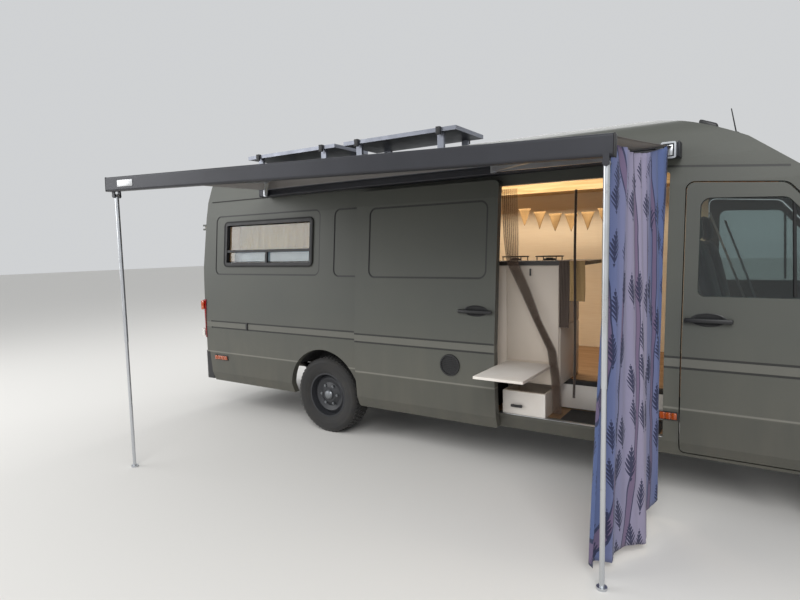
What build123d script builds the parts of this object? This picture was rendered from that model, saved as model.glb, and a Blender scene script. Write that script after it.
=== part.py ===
from build123d import *
import math
import os

# A long high-roof panel van fitted out as a camper, parked with its side door open and its awning out.
# X points forward, Y to the van's left and Z up. The origin is on the ground, midway between the axles.
# All sizes are in millimetres. RIGHT is the side of the sliding door and the awning.

RIGHT = -1
LEFT = 1

# Running gear
WHEELBASE = 4025.0
TRACK = 1630.0
TYRE_RADIUS = 348.0
TYRE_WIDTH = 225.0
RIM_RADIUS = 206.0
RIM_FIT = 0.3
ARCH_RADIUS_REAR = 408.0
ARCH_RADIUS_FRONT = 432.0
ARCH_CENTRE_Z = 372.0
KINGPIN_INSET = 100.0
KINGPIN_RADIUS = 12.0
STUB_RADIUS = 30.0
STUB_FIT = 0.3
AXLE_TUBE_RADIUS = 52.0

# Body outline
REAR_OVERHANG = 1657.5
NOSE_OVERHANG = 868.0
BUMPER_OVERHANG = 945.0
REAR_BUMPER_REACH = 78.0
BODY_HALF_WIDTH = 966.0
BODY_BOTTOM_Z = 324.0
SILL_Z = 420.0
CREASE_Z = 640.0
BELT_LOW_Z = 902.0
BELT_TOP_Z = 968.0
GUTTER_Z = 2205.0
CAB_SEAM_DROP = 43.0
ROOF_Z = 2580.0
SILL_TUCK = 60.0
SHOULDER_INSET = 188.0
SHOULDER_DROP = 145.0
SHOULDER_RADIUS = 170.0
REAR_LEAN = 56.0
REAR_CORNER_RADIUS = 95.0
WALL = 60.0
OPEN_BELOW = 200.0
CLEAR_OUTSIDE = 134.0
CLEAR_INSIDE = 266.0
SEAM = 8.0
FIT = 0.3

# Places that the other sizes start from
FRONT_AXLE_X = WHEELBASE / 2
REAR_AXLE_X = -WHEELBASE / 2
REAR_X = REAR_AXLE_X - REAR_OVERHANG
NOSE_X = FRONT_AXLE_X + NOSE_OVERHANG
BUMPER_X = FRONT_AXLE_X + BUMPER_OVERHANG
OUTSIDE_Y = BODY_HALF_WIDTH + CLEAR_OUTSIDE
INSIDE_Y = BODY_HALF_WIDTH - CLEAR_INSIDE

# Front outline, each slope in degrees from level
COWL_X = FRONT_AXLE_X + 317.5
COWL_Z = 1290.0
SCREEN_SLOPE = 48.95
SCREEN_BULGE = 120.0
HEADER_X = FRONT_AXLE_X - 282.5
HEADER_Z = 1979.0
FAIRING_SLOPE = 36.55
FAIRING_BULGE = 81.0
CREST_RADIUS = 2525.0
BONNET_SLOPE = 31.0
BONNET_BULGE = 90.0
FIREWALL_X = FRONT_AXLE_X + 137.5
FIREWALL_THICK = 30.0
FIREWALL_TOP_Z = 1262.0

# Doors, as lowest and highest places along X and Z
B_PILLAR_X = FRONT_AXLE_X - 1097.5
CAB_DOOR_REAR_X = B_PILLAR_X + 8.0
CAB_DOOR_FRONT_X = FRONT_AXLE_X - 57.5
CAB_DOOR_HEAD_X = CAB_DOOR_FRONT_X - 523.0
CAB_DOOR_BOTTOM_Z = 352.0
CAB_DOOR_TOP_Z = 2050.0
CAB_DOOR_GAP = 13.0
CAB_PIVOT_X = CAB_DOOR_FRONT_X - 8.0
CAB_PIVOT_Y = BODY_HALF_WIDTH - 13.0
CAB_HINGE_Z = (870.0, 1060.0)
HINGE_PIN_RADIUS = 4.0
HINGE_BARREL_RADIUS = 7.0
HINGE_HALF_HEIGHT = 14.0
HINGE_PIN_REACH = 26.0
ROCKER_END_X = FRONT_AXLE_X - 435.5
ROCKER_TOP_Z = 400.0
SLIDE_OPENING_X = (B_PILLAR_X - 1290.0, B_PILLAR_X - 90.0)
SLIDE_OPENING_Z = (440.0, 2125.0)
SLIDE_DOOR_LENGTH = 1283.0
SLIDE_DOOR_X = SLIDE_OPENING_X[0] - 1199.0
SLIDE_DOOR_Z = (330.0, 2165.0)
SLIDE_DOOR_OUT = 20.0
SLIDE_DOOR_THICK = 60.0
REAR_DOOR_Z = (668.0, 2190.0)
REAR_DOOR_INSET = 118.0
REAR_DOOR_SPLIT = 12.0
REAR_HINGE_Z = (730.0, 1400.0, 1950.0)
REAR_PIVOT_OUT = 12.0
REAR_PIVOT_Y = BODY_HALF_WIDTH - 120.0
REAR_BARREL_RADIUS = 10.0
REAR_PIN_RADIUS = 5.0

# Floor and frame
FLOOR_Z = 660.0
FLOOR_THICK = 40.0
CAB_FLOOR_Z = 700.0
RAIL_Y = 348.0
RAIL_WIDTH = 75.0
RAIL_HEIGHT = 130.0
STEP_Z = 440.0
STEP_DEPTH = 320.0
STEP_THICK = 30.0
WHEEL_INNER_Y = TRACK / 2 - TYRE_WIDTH / 2
WELL_Y = WHEEL_INNER_Y - 142.5
HOUSING_Y = WHEEL_INNER_Y - 62.5
HOUSING_THICK = 12.0
CAB_FLOOR_INSET = 15.0


def box(x_low, x_high, y_low, y_high, z_low, z_high):
    middle = Pos((x_low + x_high) / 2, (y_low + y_high) / 2, (z_low + z_high) / 2)
    return middle * Box(x_high - x_low, y_high - y_low, z_high - z_low)


def outline_face(points, radii=None):
    if radii is None:
        return make_face(Polyline(*points, close=True))
    return make_face(FilletPolyline(*points, radius=radii, close=True))


def prism_y(points, y_low, y_high, radii=None):
    face = outline_face([(x, y_low, z) for x, z in points], radii)
    return extrude(face, amount=y_high - y_low, dir=(0, 1, 0))


def prism_x(points, x_low, x_high, radii=None):
    face = outline_face([(x_low, y, z) for y, z in points], radii)
    return extrude(face, amount=x_high - x_low, dir=(1, 0, 0))


def prism_z(points, z_low, z_high, radii=None):
    face = outline_face([(x, y, z_low) for x, y in points], radii)
    return extrude(face, amount=z_high - z_low, dir=(0, 0, 1))


def side_box(side, x_low, x_high, y_near, y_far, z_low, z_high):
    lows = sorted((side * y_near, side * y_far))
    return box(x_low, x_high, lows[0], lows[1], z_low, z_high)


def rod(start, end, radius):
    way = Vector(*end) - Vector(*start)
    plane = Plane(origin=start, z_dir=way)
    return extrude(plane * Circle(radius), amount=way.length)


def bar(start, end, width, height, flat=None):
    # A straight bar, its width lying along flat, or level where flat is left out
    way = Vector(*end) - Vector(*start)
    if flat is None:
        flat = way.cross(Vector(0, 0, 1))
    plane = Plane(origin=start, x_dir=flat, z_dir=way)
    return extrude(plane * Rectangle(width, height), amount=way.length)


# Section of the body: inset of the side from its widest line, at each height
SECTION = (
    (SILL_TUCK, BODY_BOTTOM_Z),
    (SILL_TUCK / 3, SILL_Z),
    (0.0, CREASE_Z),
    (0.0, BELT_TOP_Z),
    (36.0, 1448.0),
    (90.0, 2040.0),
    (115.0, GUTTER_Z),
)


def half_width(z):
    rows = SECTION
    if z <= rows[0][1]:
        return BODY_HALF_WIDTH - rows[0][0]
    for (inset_a, z_a), (inset_b, z_b) in zip(rows, rows[1:]):
        if z <= z_b:
            share = (z - z_a) / (z_b - z_a)
            return BODY_HALF_WIDTH - inset_a - share * (inset_b - inset_a)
    return BODY_HALF_WIDTH - rows[-1][0]


def section_prism(inward, x_low, x_high):
    # The roof's crown is one arc between rounded shoulders.
    low = BODY_BOTTOM_Z - OPEN_BELOW
    side = [(BODY_HALF_WIDTH - inset - inward, z) for inset, z in SECTION]
    if inward > 0:
        side.insert(0, (side[0][0], low))
    shoulder = (BODY_HALF_WIDTH - SHOULDER_INSET - inward, ROOF_Z - SHOULDER_DROP - inward)
    side.append(shoulder)
    right = [(x_low, -y, z) for y, z in side]
    left = [(x_low, y, z) for y, z in reversed(side)]
    crown = ThreePointArc(right[-1], (x_low, 0, ROOF_Z - inward), left[0])
    face = make_face([Polyline(*right), crown, Polyline(*left), Line(left[-1], right[0])])
    corners = [v for v in face.vertices() if abs(v.Z - shoulder[1]) < 0.01]
    face = fillet(corners, SHOULDER_RADIUS - inward / 2)
    return extrude(face, amount=x_high - x_low, dir=(1, 0, 0))


def raked_prism(x_at, z_at, slope, bulge, inward):
    # Everything behind a raked face whose plan is one arc.
    run = 1.0 / math.tan(math.radians(slope))
    x_ground = x_at + z_at * run - inward / math.sin(math.radians(slope))
    wide = BODY_HALF_WIDTH + 100.0
    drop = bulge * (wide / BODY_HALF_WIDTH) ** 2
    front = ThreePointArc((x_ground - drop, -wide, 0), (x_ground, 0, 0), (x_ground - drop, wide, 0))
    back = Polyline(
        (x_ground - drop, wide, 0),
        (x_ground - 9000.0, wide, 0),
        (x_ground - 9000.0, -wide, 0),
        (x_ground - drop, -wide, 0),
    )
    height = ROOF_Z + 200.0
    face = make_face([front, back])
    return extrude(face, amount=height * math.hypot(run, 1.0), dir=(-run, 0, 1))


def silhouette_prism(inward):
    run = 1.0 / math.tan(math.radians(FAIRING_SLOPE))
    crest_x = HEADER_X - (ROOF_Z - HEADER_Z) * run - inward * math.tan(math.radians(FAIRING_SLOPE / 2))
    slope_x = crest_x + 1600.0 * run
    top = ROOF_Z - inward
    points = [
        (REAR_X + inward, 100.0),
        (REAR_X + inward, 1300.0),
        (REAR_X + REAR_LEAN + inward, GUTTER_Z + 150.0),
        (REAR_X + REAR_LEAN + 25.0 + inward, top),
        (crest_x, top),
        (slope_x, top - 1600.0),
        (slope_x, 100.0),
    ]
    radii = [1.0, 300.0, 60.0, 120.0, CREST_RADIUS - inward, 1.0, 1.0]
    return prism_y(points, -OUTSIDE_Y, OUTSIDE_Y, radii)


def plan_prism(inward):
    x_rear = REAR_X + inward
    wide = BODY_HALF_WIDTH + 4.0 - inward
    points = [
        (x_rear, -wide),
        (BUMPER_X + 1000.0, -wide),
        (BUMPER_X + 1000.0, wide),
        (x_rear, wide),
    ]
    corner = REAR_CORNER_RADIUS - inward / 2
    return prism_z(points, 50.0, ROOF_Z + 100.0, [corner, 1.0, 1.0, corner])


FORMS = {}


def upper_form(inward):
    # Everything of the body from the rear face to the windscreen, each size made once.
    if inward not in FORMS:
        FORMS[inward] = make_upper_form(inward)
    return FORMS[inward]


def make_upper_form(inward):
    form = section_prism(inward, REAR_X - 10.0, COWL_X + 1200.0)
    form &= silhouette_prism(inward)
    form &= plan_prism(inward)
    form &= raked_prism(HEADER_X + 1.0, HEADER_Z, FAIRING_SLOPE, FAIRING_BULGE, inward)
    form &= raked_prism(COWL_X, COWL_Z, SCREEN_SLOPE, SCREEN_BULGE, inward)
    return form


def nose_form(inward):
    # The engine bay in front of the windscreen.
    form = section_prism(inward, FRONT_AXLE_X - 60.0, NOSE_X + 100.0)
    form &= raked_prism(COWL_X + 10.0, COWL_Z - 15.0, BONNET_SLOPE, BONNET_BULGE, inward)
    x_back = FRONT_AXLE_X - 512.5
    x_wing = NOSE_X - 320.5
    y_wing = BODY_HALF_WIDTH + 34.0 - inward
    y_corner = BODY_HALF_WIDTH - 126.0 - inward
    y_flat = BODY_HALF_WIDTH - 666.0
    points = [
        (x_back, -y_wing),
        (x_wing, -y_wing),
        (NOSE_X - 62.0 - inward, -y_corner),
        (NOSE_X - inward, -y_flat),
        (NOSE_X - inward, y_flat),
        (NOSE_X - 62.0 - inward, y_corner),
        (x_wing, y_wing),
        (x_back, y_wing),
    ]
    radii = [1.0, 150.0, 170.0, 900.0, 900.0, 170.0, 150.0, 1.0]
    form &= prism_z(points, 50.0, COWL_Z + 20.0, radii)
    return form


OUTER = upper_form(0.0)
INNER = upper_form(WALL)
SHELL = OUTER - INNER
WING_WALL = 45.0
NOSE_OUTER = nose_form(0.0)
NOSE_INNER = nose_form(WING_WALL)


# Outlines seen from the side, as (x, z)
def cab_door_outline(grow):
    g = grow
    pillar = 1.0 / math.tan(math.radians(SCREEN_SLOPE))
    top_x = CAB_DOOR_HEAD_X
    waist_x = CAB_DOOR_FRONT_X
    waist_z = CAB_DOOR_TOP_Z - 40.0 - (waist_x - top_x) / pillar
    return [
        (CAB_DOOR_REAR_X - g, CAB_DOOR_BOTTOM_Z - g),
        (waist_x + g, CAB_DOOR_BOTTOM_Z - g),
        (waist_x + g, waist_z + g / 2),
        (top_x + g, CAB_DOOR_TOP_Z - 40.0 + g),
        (CAB_DOOR_REAR_X - g, CAB_DOOR_TOP_Z + g),
    ]


CAB_DOOR_RADII = [30.0, 20.0, 60.0, 70.0, 45.0]


def cab_door_cutter(side, grow):
    points = cab_door_outline(grow)
    radii = [r + grow / 2 for r in CAB_DOOR_RADII]
    y_low, y_high = sorted((side * (INSIDE_Y - 200.0), side * OUTSIDE_Y))
    return prism_y(points, y_low, y_high, radii)


def front_arch(grow):
    return Pos(FRONT_AXLE_X, 0, ARCH_CENTRE_Z) * (
        Rot(90, 0, 0) * Cylinder(ARCH_RADIUS_FRONT + grow, 2 * OUTSIDE_Y)
    )


def rear_arch(grow):
    return Pos(REAR_AXLE_X, 0, ARCH_CENTRE_Z) * (
        Rot(90, 0, 0) * Cylinder(ARCH_RADIUS_REAR + grow, 2 * OUTSIDE_Y)
    )


def roof_region(low):
    # The roof cap's lower edge is level along the load space, steps down at the cab and dips along it.
    points = [
        (REAR_X - 100.0, low),
        (B_PILLAR_X - 60.0, low),
        (B_PILLAR_X - 30.0, low - CAB_SEAM_DROP),
        (CAB_DOOR_HEAD_X, low - CAB_SEAM_DROP - 35.0),
        (HEADER_X + 200.0, low - CAB_SEAM_DROP - 90.0),
        (HEADER_X + 200.0, ROOF_Z + 200.0),
        (REAR_X - 100.0, ROOF_Z + 200.0),
    ]
    return prism_y(points, -OUTSIDE_Y, OUTSIDE_Y)


def pressing(side, x_low, x_high, z_low, z_high, depth=5.0):
    # A stamped panel field, sunk a little below the skin
    points = [(x_low, z_low), (x_high, z_low), (x_high, z_high), (x_low, z_high)]
    y_low, y_high = sorted((side * INSIDE_Y, side * OUTSIDE_Y))
    field = prism_y(points, y_low, y_high, [60.0] * 4)
    return field - upper_form(depth)


def rear_door_cutter(side, grow):
    points = []
    for z in (REAR_DOOR_Z[0] - grow, CREASE_Z + 100.0, BELT_TOP_Z, 1448.0, REAR_DOOR_Z[1] + grow):
        points.append((side * (half_width(z) - REAR_DOOR_INSET + grow), z))
    points.append((side * (REAR_DOOR_SPLIT / 2 - grow), REAR_DOOR_Z[1] + grow))
    points.append((side * (REAR_DOOR_SPLIT / 2 - grow), REAR_DOOR_Z[0] - grow))
    return prism_x(points, REAR_X - 20.0, REAR_X + 160.0)


WINDOW_X = (REAR_X + 339.0, REAR_X + 1533.0)
WINDOW_Z = (1540.0, 1985.0)
FIELD_A = (REAR_X + 205.0, REAR_X + 1620.0, 1455.0, 2050.0)
FIELD_B = (REAR_X + 1790.0, REAR_X + 2710.0, 1448.0, 2040.0)


def window_prism(side, grow):
    lows = sorted((side * INSIDE_Y, side * OUTSIDE_Y))
    points = [
        (WINDOW_X[0] - grow, WINDOW_Z[0] - grow),
        (WINDOW_X[1] + grow, WINDOW_Z[0] - grow),
        (WINDOW_X[1] + grow, WINDOW_Z[1] + grow),
        (WINDOW_X[0] - grow, WINDOW_Z[1] + grow),
    ]
    return prism_y(points, lows[0], lows[1], [45.0 + grow] * 4)


def slide_opening():
    points = [
        (SLIDE_OPENING_X[0], SLIDE_OPENING_Z[0]),
        (SLIDE_OPENING_X[1], SLIDE_OPENING_Z[0]),
        (SLIDE_OPENING_X[1], SLIDE_OPENING_Z[1]),
        (SLIDE_OPENING_X[0], SLIDE_OPENING_Z[1]),
    ]
    return prism_y(points, -OUTSIDE_Y, -INSIDE_Y + 100.0, [4.0, 4.0, 20.0, 20.0])


def belt_groove(side, x_low, x_high):
    cuts = None
    for z in (BELT_LOW_Z, BELT_TOP_Z):
        groove = side_box(side, x_low, x_high, BODY_HALF_WIDTH - 4.0, OUTSIDE_Y, z - 6.0, z + 6.0)
        cuts = groove if cuts is None else cuts + groove
    return cuts


def body_side(side):
    z_low = BODY_BOTTOM_Z - 10.0
    region = side_box(side, REAR_X - 50.0, B_PILLAR_X, 20.0, OUTSIDE_Y, z_low, GUTTER_Z)
    region += side_box(side, B_PILLAR_X - 1.0, ROCKER_END_X, 20.0, OUTSIDE_Y, z_low, ROCKER_TOP_Z)
    panel = (SHELL & region) - roof_region(GUTTER_Z - FIT)
    panel -= cab_door_cutter(side, SEAM)
    panel -= rear_door_cutter(side, SEAM)
    panel -= box(REAR_X - 60.0, REAR_X + 100.0, -OUTSIDE_Y, OUTSIDE_Y, 200.0, REAR_DOOR_Z[0] - 30.0)
    panel -= rear_arch(0.0)
    panel -= pressing(side, *FIELD_A)
    panel -= pressing(side, *FIELD_B)
    panel -= belt_groove(side, REAR_X + 150.0, SLIDE_OPENING_X[0] - 40.0)
    if side == RIGHT:
        panel -= window_prism(side, 0.0)
        panel -= slide_opening()
    for z in REAR_HINGE_Z:
        panel += rear_hinge_fixed(side, z)
    return panel


def high_roof():
    roof = SHELL & roof_region(GUTTER_Z)
    return roof


SCREEN_Z = (COWL_Z + 50.0, HEADER_Z - 51.0)


def screen_prism(grow):
    y_low = BODY_HALF_WIDTH - 191.0 + grow
    y_top = BODY_HALF_WIDTH - 231.0 + grow
    z_low = SCREEN_Z[0] - grow
    z_top = SCREEN_Z[1] + grow
    points = [(-y_low, z_low), (y_low, z_low), (y_top, z_top), (-y_top, z_top)]
    return prism_x(points, FRONT_AXLE_X - 612.5, COWL_X + 370.0, [70.0 + grow] * 4)


def windscreen():
    pane = (upper_form(3.0) - upper_form(9.0)) & screen_prism(-FIT)
    return pane & box(B_PILLAR_X, COWL_X + 370.0, -OUTSIDE_Y, OUTSIDE_Y, COWL_Z - 90.0, ROOF_Z)


def cab_frame():
    frame = SHELL & box(B_PILLAR_X + FIT, COWL_X + 370.0, -OUTSIDE_Y, OUTSIDE_Y, ROCKER_TOP_Z + FIT, ROOF_Z)
    frame -= roof_region(GUTTER_Z - FIT)
    for side in (LEFT, RIGHT):
        frame -= cab_door_cutter(side, SEAM)
    frame -= screen_prism(0.0)
    frame -= front_arch(6.0)
    cowl_z = COWL_Z - 20.0
    frame -= box(CAB_DOOR_FRONT_X, BUMPER_X, -OUTSIDE_Y, OUTSIDE_Y, 200.0, cowl_z)
    x_wall = FIREWALL_X + FIREWALL_THICK
    firewall = box(FIREWALL_X, x_wall, -OUTSIDE_Y, OUTSIDE_Y, FLOOR_Z - FLOOR_THICK, FIREWALL_TOP_Z)
    firewall &= nose_form(WING_WALL + FIT)
    for side in (LEFT, RIGHT):
        arch_side = side_box(side, B_PILLAR_X, COWL_X + 170.0, WELL_Y - 75.0, OUTSIDE_Y, 0.0, cowl_z)
        firewall -= front_arch(20.0) & arch_side
    y_cowl = BONNET_HALF - 5.0
    cowl = box(FIREWALL_X, COWL_X - 40.0, -y_cowl, y_cowl, FIREWALL_TOP_Z - 22.0, cowl_z)
    return frame + firewall + cowl


BONNET_HALF = BODY_HALF_WIDTH - 306.0
BONNET_X = (COWL_X + 32.0, NOSE_X - 90.5)
BONNET_PIVOT_X = BONNET_X[0] + 10.0
BONNET_PIVOT_Z = COWL_Z - 75.0
BONNET_SEAM = 8.0
GRILLE_X = NOSE_X - 380.5
GRILLE_HALF = BODY_HALF_WIDTH - 406.0
GRILLE_Z = (648.0, 960.0)
GRILLE_BORDER = 60.0
GRILLE_PITCH = 48.0
GRILLE_SLOT = 26.0
BUMPER_TOP_Z = 632.0
BUMPER_BACK_X = BUMPER_X - 517.5
CRASH_BOX_X = BUMPER_X - 77.5
BONNET_PIN_RADIUS = 4.0
BONNET_PIN_DEPTH = 22.0


def bonnet_pin(side, radius, reach):
    # The bonnet turns on a short pin that stands out of each wing into its side edge.
    start = (BONNET_PIVOT_X, side * (BONNET_HALF - BONNET_PIN_DEPTH), BONNET_PIVOT_Z)
    end = (BONNET_PIVOT_X, side * (BONNET_HALF + reach), BONNET_PIVOT_Z)
    return rod(start, end, radius)


def bonnet_outline(grow, x_rear):
    x_front = BONNET_X[1] + grow
    y_side = BONNET_HALF + grow
    y_flat = BODY_HALF_WIDTH - 666.0
    half = [(x_rear, y_side), (x_front - 60.0, y_side - 60.0), (x_front, y_flat)]
    return [(x, -y) for x, y in half] + [(x, y) for x, y in reversed(half)]


def bonnet():
    panel = NOSE_OUTER - nose_form(26.0)
    for side in (LEFT, RIGHT):
        panel -= Pos(0, -side * 2.0, 0) * bonnet_pin(side, BONNET_PIN_RADIUS + FIT, 30.0)
    return panel & prism_z(bonnet_outline(0.0, BONNET_X[0]), 900.0, COWL_Z + 50.0)


def front_wings():
    x_low = CAB_DOOR_FRONT_X + CAB_DOOR_GAP
    x_high = BUMPER_X + 50.0
    body = (NOSE_OUTER - NOSE_INNER) & box(x_low, x_high, -OUTSIDE_Y, OUTSIDE_Y, 340.0, COWL_Z - 28.0)
    body -= prism_z(bonnet_outline(BONNET_SEAM, BONNET_X[0] - 10.0), 700.0, COWL_Z + 50.0)
    y = BONNET_HALF + BONNET_SEAM
    body -= box(BONNET_X[0] - 400.0, BONNET_X[0], -y, y, 700.0, COWL_Z)
    body -= front_arch(0.0)
    for side in (LEFT, RIGHT):
        body -= headlamp_prism(side, FIT)
    body -= box(GRILLE_X, x_high, -GRILLE_HALF, GRILLE_HALF, 300.0, GRILLE_Z[1])
    body -= box(BUMPER_BACK_X, x_high, -OUTSIDE_Y, OUTSIDE_Y, 300.0, BUMPER_TOP_Z + 8.0)
    for side in (LEFT, RIGHT):
        body += bonnet_pin(side, BONNET_PIN_RADIUS, 30.0)
        for z in CAB_HINGE_Z:
            body += cab_door_lug(side, z)
    return body


def headlamp_prism(side, grow):
    y_near = GRILLE_HALF + 15.0 - grow
    y_far = BODY_HALF_WIDTH - 66.0 + grow
    points = [
        (side * y_near, 690.0 - grow),
        (side * y_far, 730.0 - grow),
        (side * (y_far - 20.0), 985.0 + grow),
        (side * y_near, 915.0 + grow),
    ]
    return prism_x(points, NOSE_X - 320.5, BUMPER_X + 42.5)


def headlamps():
    lamps = []
    for side in (LEFT, RIGHT):
        lamp = (nose_form(2.0) - nose_form(WING_WALL)) & headlamp_prism(side, 0.0)
        lamps.append(lamp)
    return lamps


def grille():
    y = GRILLE_HALF - FIT
    frame = nose_form(2.0) - nose_form(40.0)
    frame &= box(GRILLE_X, BUMPER_X, -y, y, GRILLE_Z[0], GRILLE_Z[1] - FIT)
    y -= GRILLE_BORDER
    for row in range(5):
        z = GRILLE_Z[0] + 42.0 + row * GRILLE_PITCH
        frame -= box(GRILLE_X, BUMPER_X, -y, y, z, z + GRILLE_SLOT)
    return frame


def front_bumper():
    # One half of each outline as (x, y), mirrored for the other
    y = BODY_HALF_WIDTH
    half = [
        (BUMPER_X - 505.5, y - 26.0),
        (BUMPER_X - 257.5, y - 36.0),
        (BUMPER_X - 50.0, y - 166.0),
        (BUMPER_X, y - 616.0),
    ]
    points = [(x, -w) for x, w in half] + [(x, w) for x, w in reversed(half)]
    outer = prism_z(points, 330.0, BUMPER_TOP_Z, [1.0, 60.0, 120.0, 400.0, 400.0, 120.0, 60.0, 1.0])
    half = [(BUMPER_X - 557.5, y - 86.0), (BUMPER_X - 177.5, y - 96.0), (CRASH_BOX_X, y - 366.0)]
    points = [(x, -w) for x, w in half] + [(x, w) for x, w in reversed(half)]
    shell = outer - prism_z(points, 370.0, BUMPER_TOP_Z - 32.0)
    shell -= box(BUMPER_X - 657.5, BUMPER_X - 257.5, -y + 81.0, y - 81.0, 300.0, 700.0)
    shell -= box(CRASH_BOX_X - 80.0, BUMPER_X + 42.5, -y + 546.0, y - 546.0, 400.0, 500.0)
    return shell


def rear_bumper():
    y = BODY_HALF_WIDTH
    half = [(REAR_X + 96.0, y - 41.0), (REAR_X - 20.0, y - 36.0), (REAR_X - REAR_BUMPER_REACH, y - 166.0)]
    points = [(x, -w) for x, w in half] + [(x, w) for x, w in reversed(half)]
    outer = prism_z(points, 340.0, BUMPER_TOP_Z + 2.0, [10.0, 60.0, 60.0, 60.0, 60.0, 10.0])
    return outer - box(REAR_X + 10.0, REAR_X + 200.0, -y + 96.0, y - 96.0, 380.0, 700.0)


REAR_LAMP_Z = (790.0, 1190.0)


def rear_lamps():
    lamps = []
    for side in (LEFT, RIGHT):
        lamp = upper_form(-9.0) - OUTER
        y_near = BODY_HALF_WIDTH - 94.0
        block = side_box(side, REAR_X - 30.0, REAR_X + 62.0, y_near, OUTSIDE_Y, *REAR_LAMP_Z)
        lamps.append(lamp & block)
    return lamps


# Cab doors
DOOR_GLASS_X = (CAB_DOOR_REAR_X + 77.0, CAB_DOOR_HEAD_X + 8.0, CAB_DOOR_FRONT_X - 50.0)
DOOR_GLASS_Z = (1348.0, 1395.0, CAB_DOOR_TOP_Z - 120.0, CAB_DOOR_TOP_Z - 100.0)


def door_glass_prism(side, grow):
    lows = sorted((side * INSIDE_Y, side * OUTSIDE_Y))
    x_rear, x_head, x_front = DOOR_GLASS_X
    z_low, z_waist, z_head, z_rear = DOOR_GLASS_Z
    points = [
        (x_rear - grow, z_low - grow),
        (x_front + grow, z_low - grow),
        (x_front + grow, z_waist + grow / 2),
        (x_head + grow, z_head + grow),
        (x_rear - grow, z_rear + grow),
    ]
    return prism_y(points, lows[0], lows[1], [40.0, 10.0, 15.0, 60.0, 55.0])


def cab_door_lug(side, z):
    # Fixed half of a cab door hinge: a barrel and its pin, on an arm from the wing
    y = side * CAB_PIVOT_Y
    z_low, z_high = z - HINGE_HALF_HEIGHT, z + HINGE_HALF_HEIGHT
    y_low, y_high = CAB_PIVOT_Y - 5.0, CAB_PIVOT_Y + 4.0
    arm = side_box(side, CAB_PIVOT_X, CAB_PIVOT_X + 45.0, y_low, y_high, z_low, z_high)
    barrel = Pos(CAB_PIVOT_X, y, z) * Cylinder(HINGE_BARREL_RADIUS, 2 * HINGE_HALF_HEIGHT)
    pin = Pos(CAB_PIVOT_X, y, z) * Cylinder(HINGE_PIN_RADIUS, 2 * (HINGE_HALF_HEIGHT + HINGE_PIN_REACH))
    return arm + barrel + pin


def cab_door(side):
    door = SHELL & cab_door_cutter(side, 0.0)
    door -= front_arch(6.0)
    door -= door_glass_prism(side, 0.0)
    door -= belt_groove(side, CAB_DOOR_REAR_X - 10.0, CAB_DOOR_FRONT_X - 60.0)
    for z in CAB_HINGE_Z:
        half = HINGE_HALF_HEIGHT + 4.0
        x_low, x_high = CAB_PIVOT_X - 14.0, CAB_DOOR_FRONT_X + 5.0
        door -= side_box(side, x_low, x_high, CAB_PIVOT_Y - 73.0, OUTSIDE_Y, z - half, z + half)
        bore = Cylinder(HINGE_PIN_RADIUS + FIT, 2 * (HINGE_HALF_HEIGHT + HINGE_PIN_REACH + 2.0))
        door -= Pos(CAB_PIVOT_X, side * CAB_PIVOT_Y, z) * bore
    return door


def cab_door_glass(side):
    pane = (upper_form(16.0) - upper_form(21.0)) & door_glass_prism(side, -FIT)
    return pane


MIRROR_X = CAB_DOOR_FRONT_X - 149.0
MIRROR_WIDTH = 170.0
MIRROR_Z = (1385.0, 1735.0)
MIRROR_FOOT_Z = 1290.0


def mirror_body(side):
    # The foot is a plate on the door skin under the window, and one bent arm carries the housing.
    z_foot = MIRROR_FOOT_Z
    y_skin = half_width(z_foot)
    y_glass = BODY_HALF_WIDTH + 79.0
    housing = side_box(side, MIRROR_X - 44.0, MIRROR_X + 44.0, y_glass, y_glass + MIRROR_WIDTH, *MIRROR_Z)
    housing = fillet(housing.edges(), 24.0)
    start = (MIRROR_X, side * (y_skin + 14.0), z_foot)
    end = (MIRROR_X, side * (y_glass + 65.0), MIRROR_Z[0] + 35.0)
    arm = bar(start, end, 30.0, 40.0)
    y_low, y_high = y_skin - 12.0, y_skin + 24.0
    foot = side_box(side, MIRROR_X - 40.0, MIRROR_X + 40.0, y_low, y_high, z_foot - 34.0, z_foot + 34.0)
    foot -= upper_form(-FIT)
    return housing + (arm - upper_form(-FIT)) + foot


SLIDE_FIELD_REAR = 140.0
SLIDE_FIELD_FRONT = 80.0
SLIDE_FIELD_Z = (1448.0, 2018.0)


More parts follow.
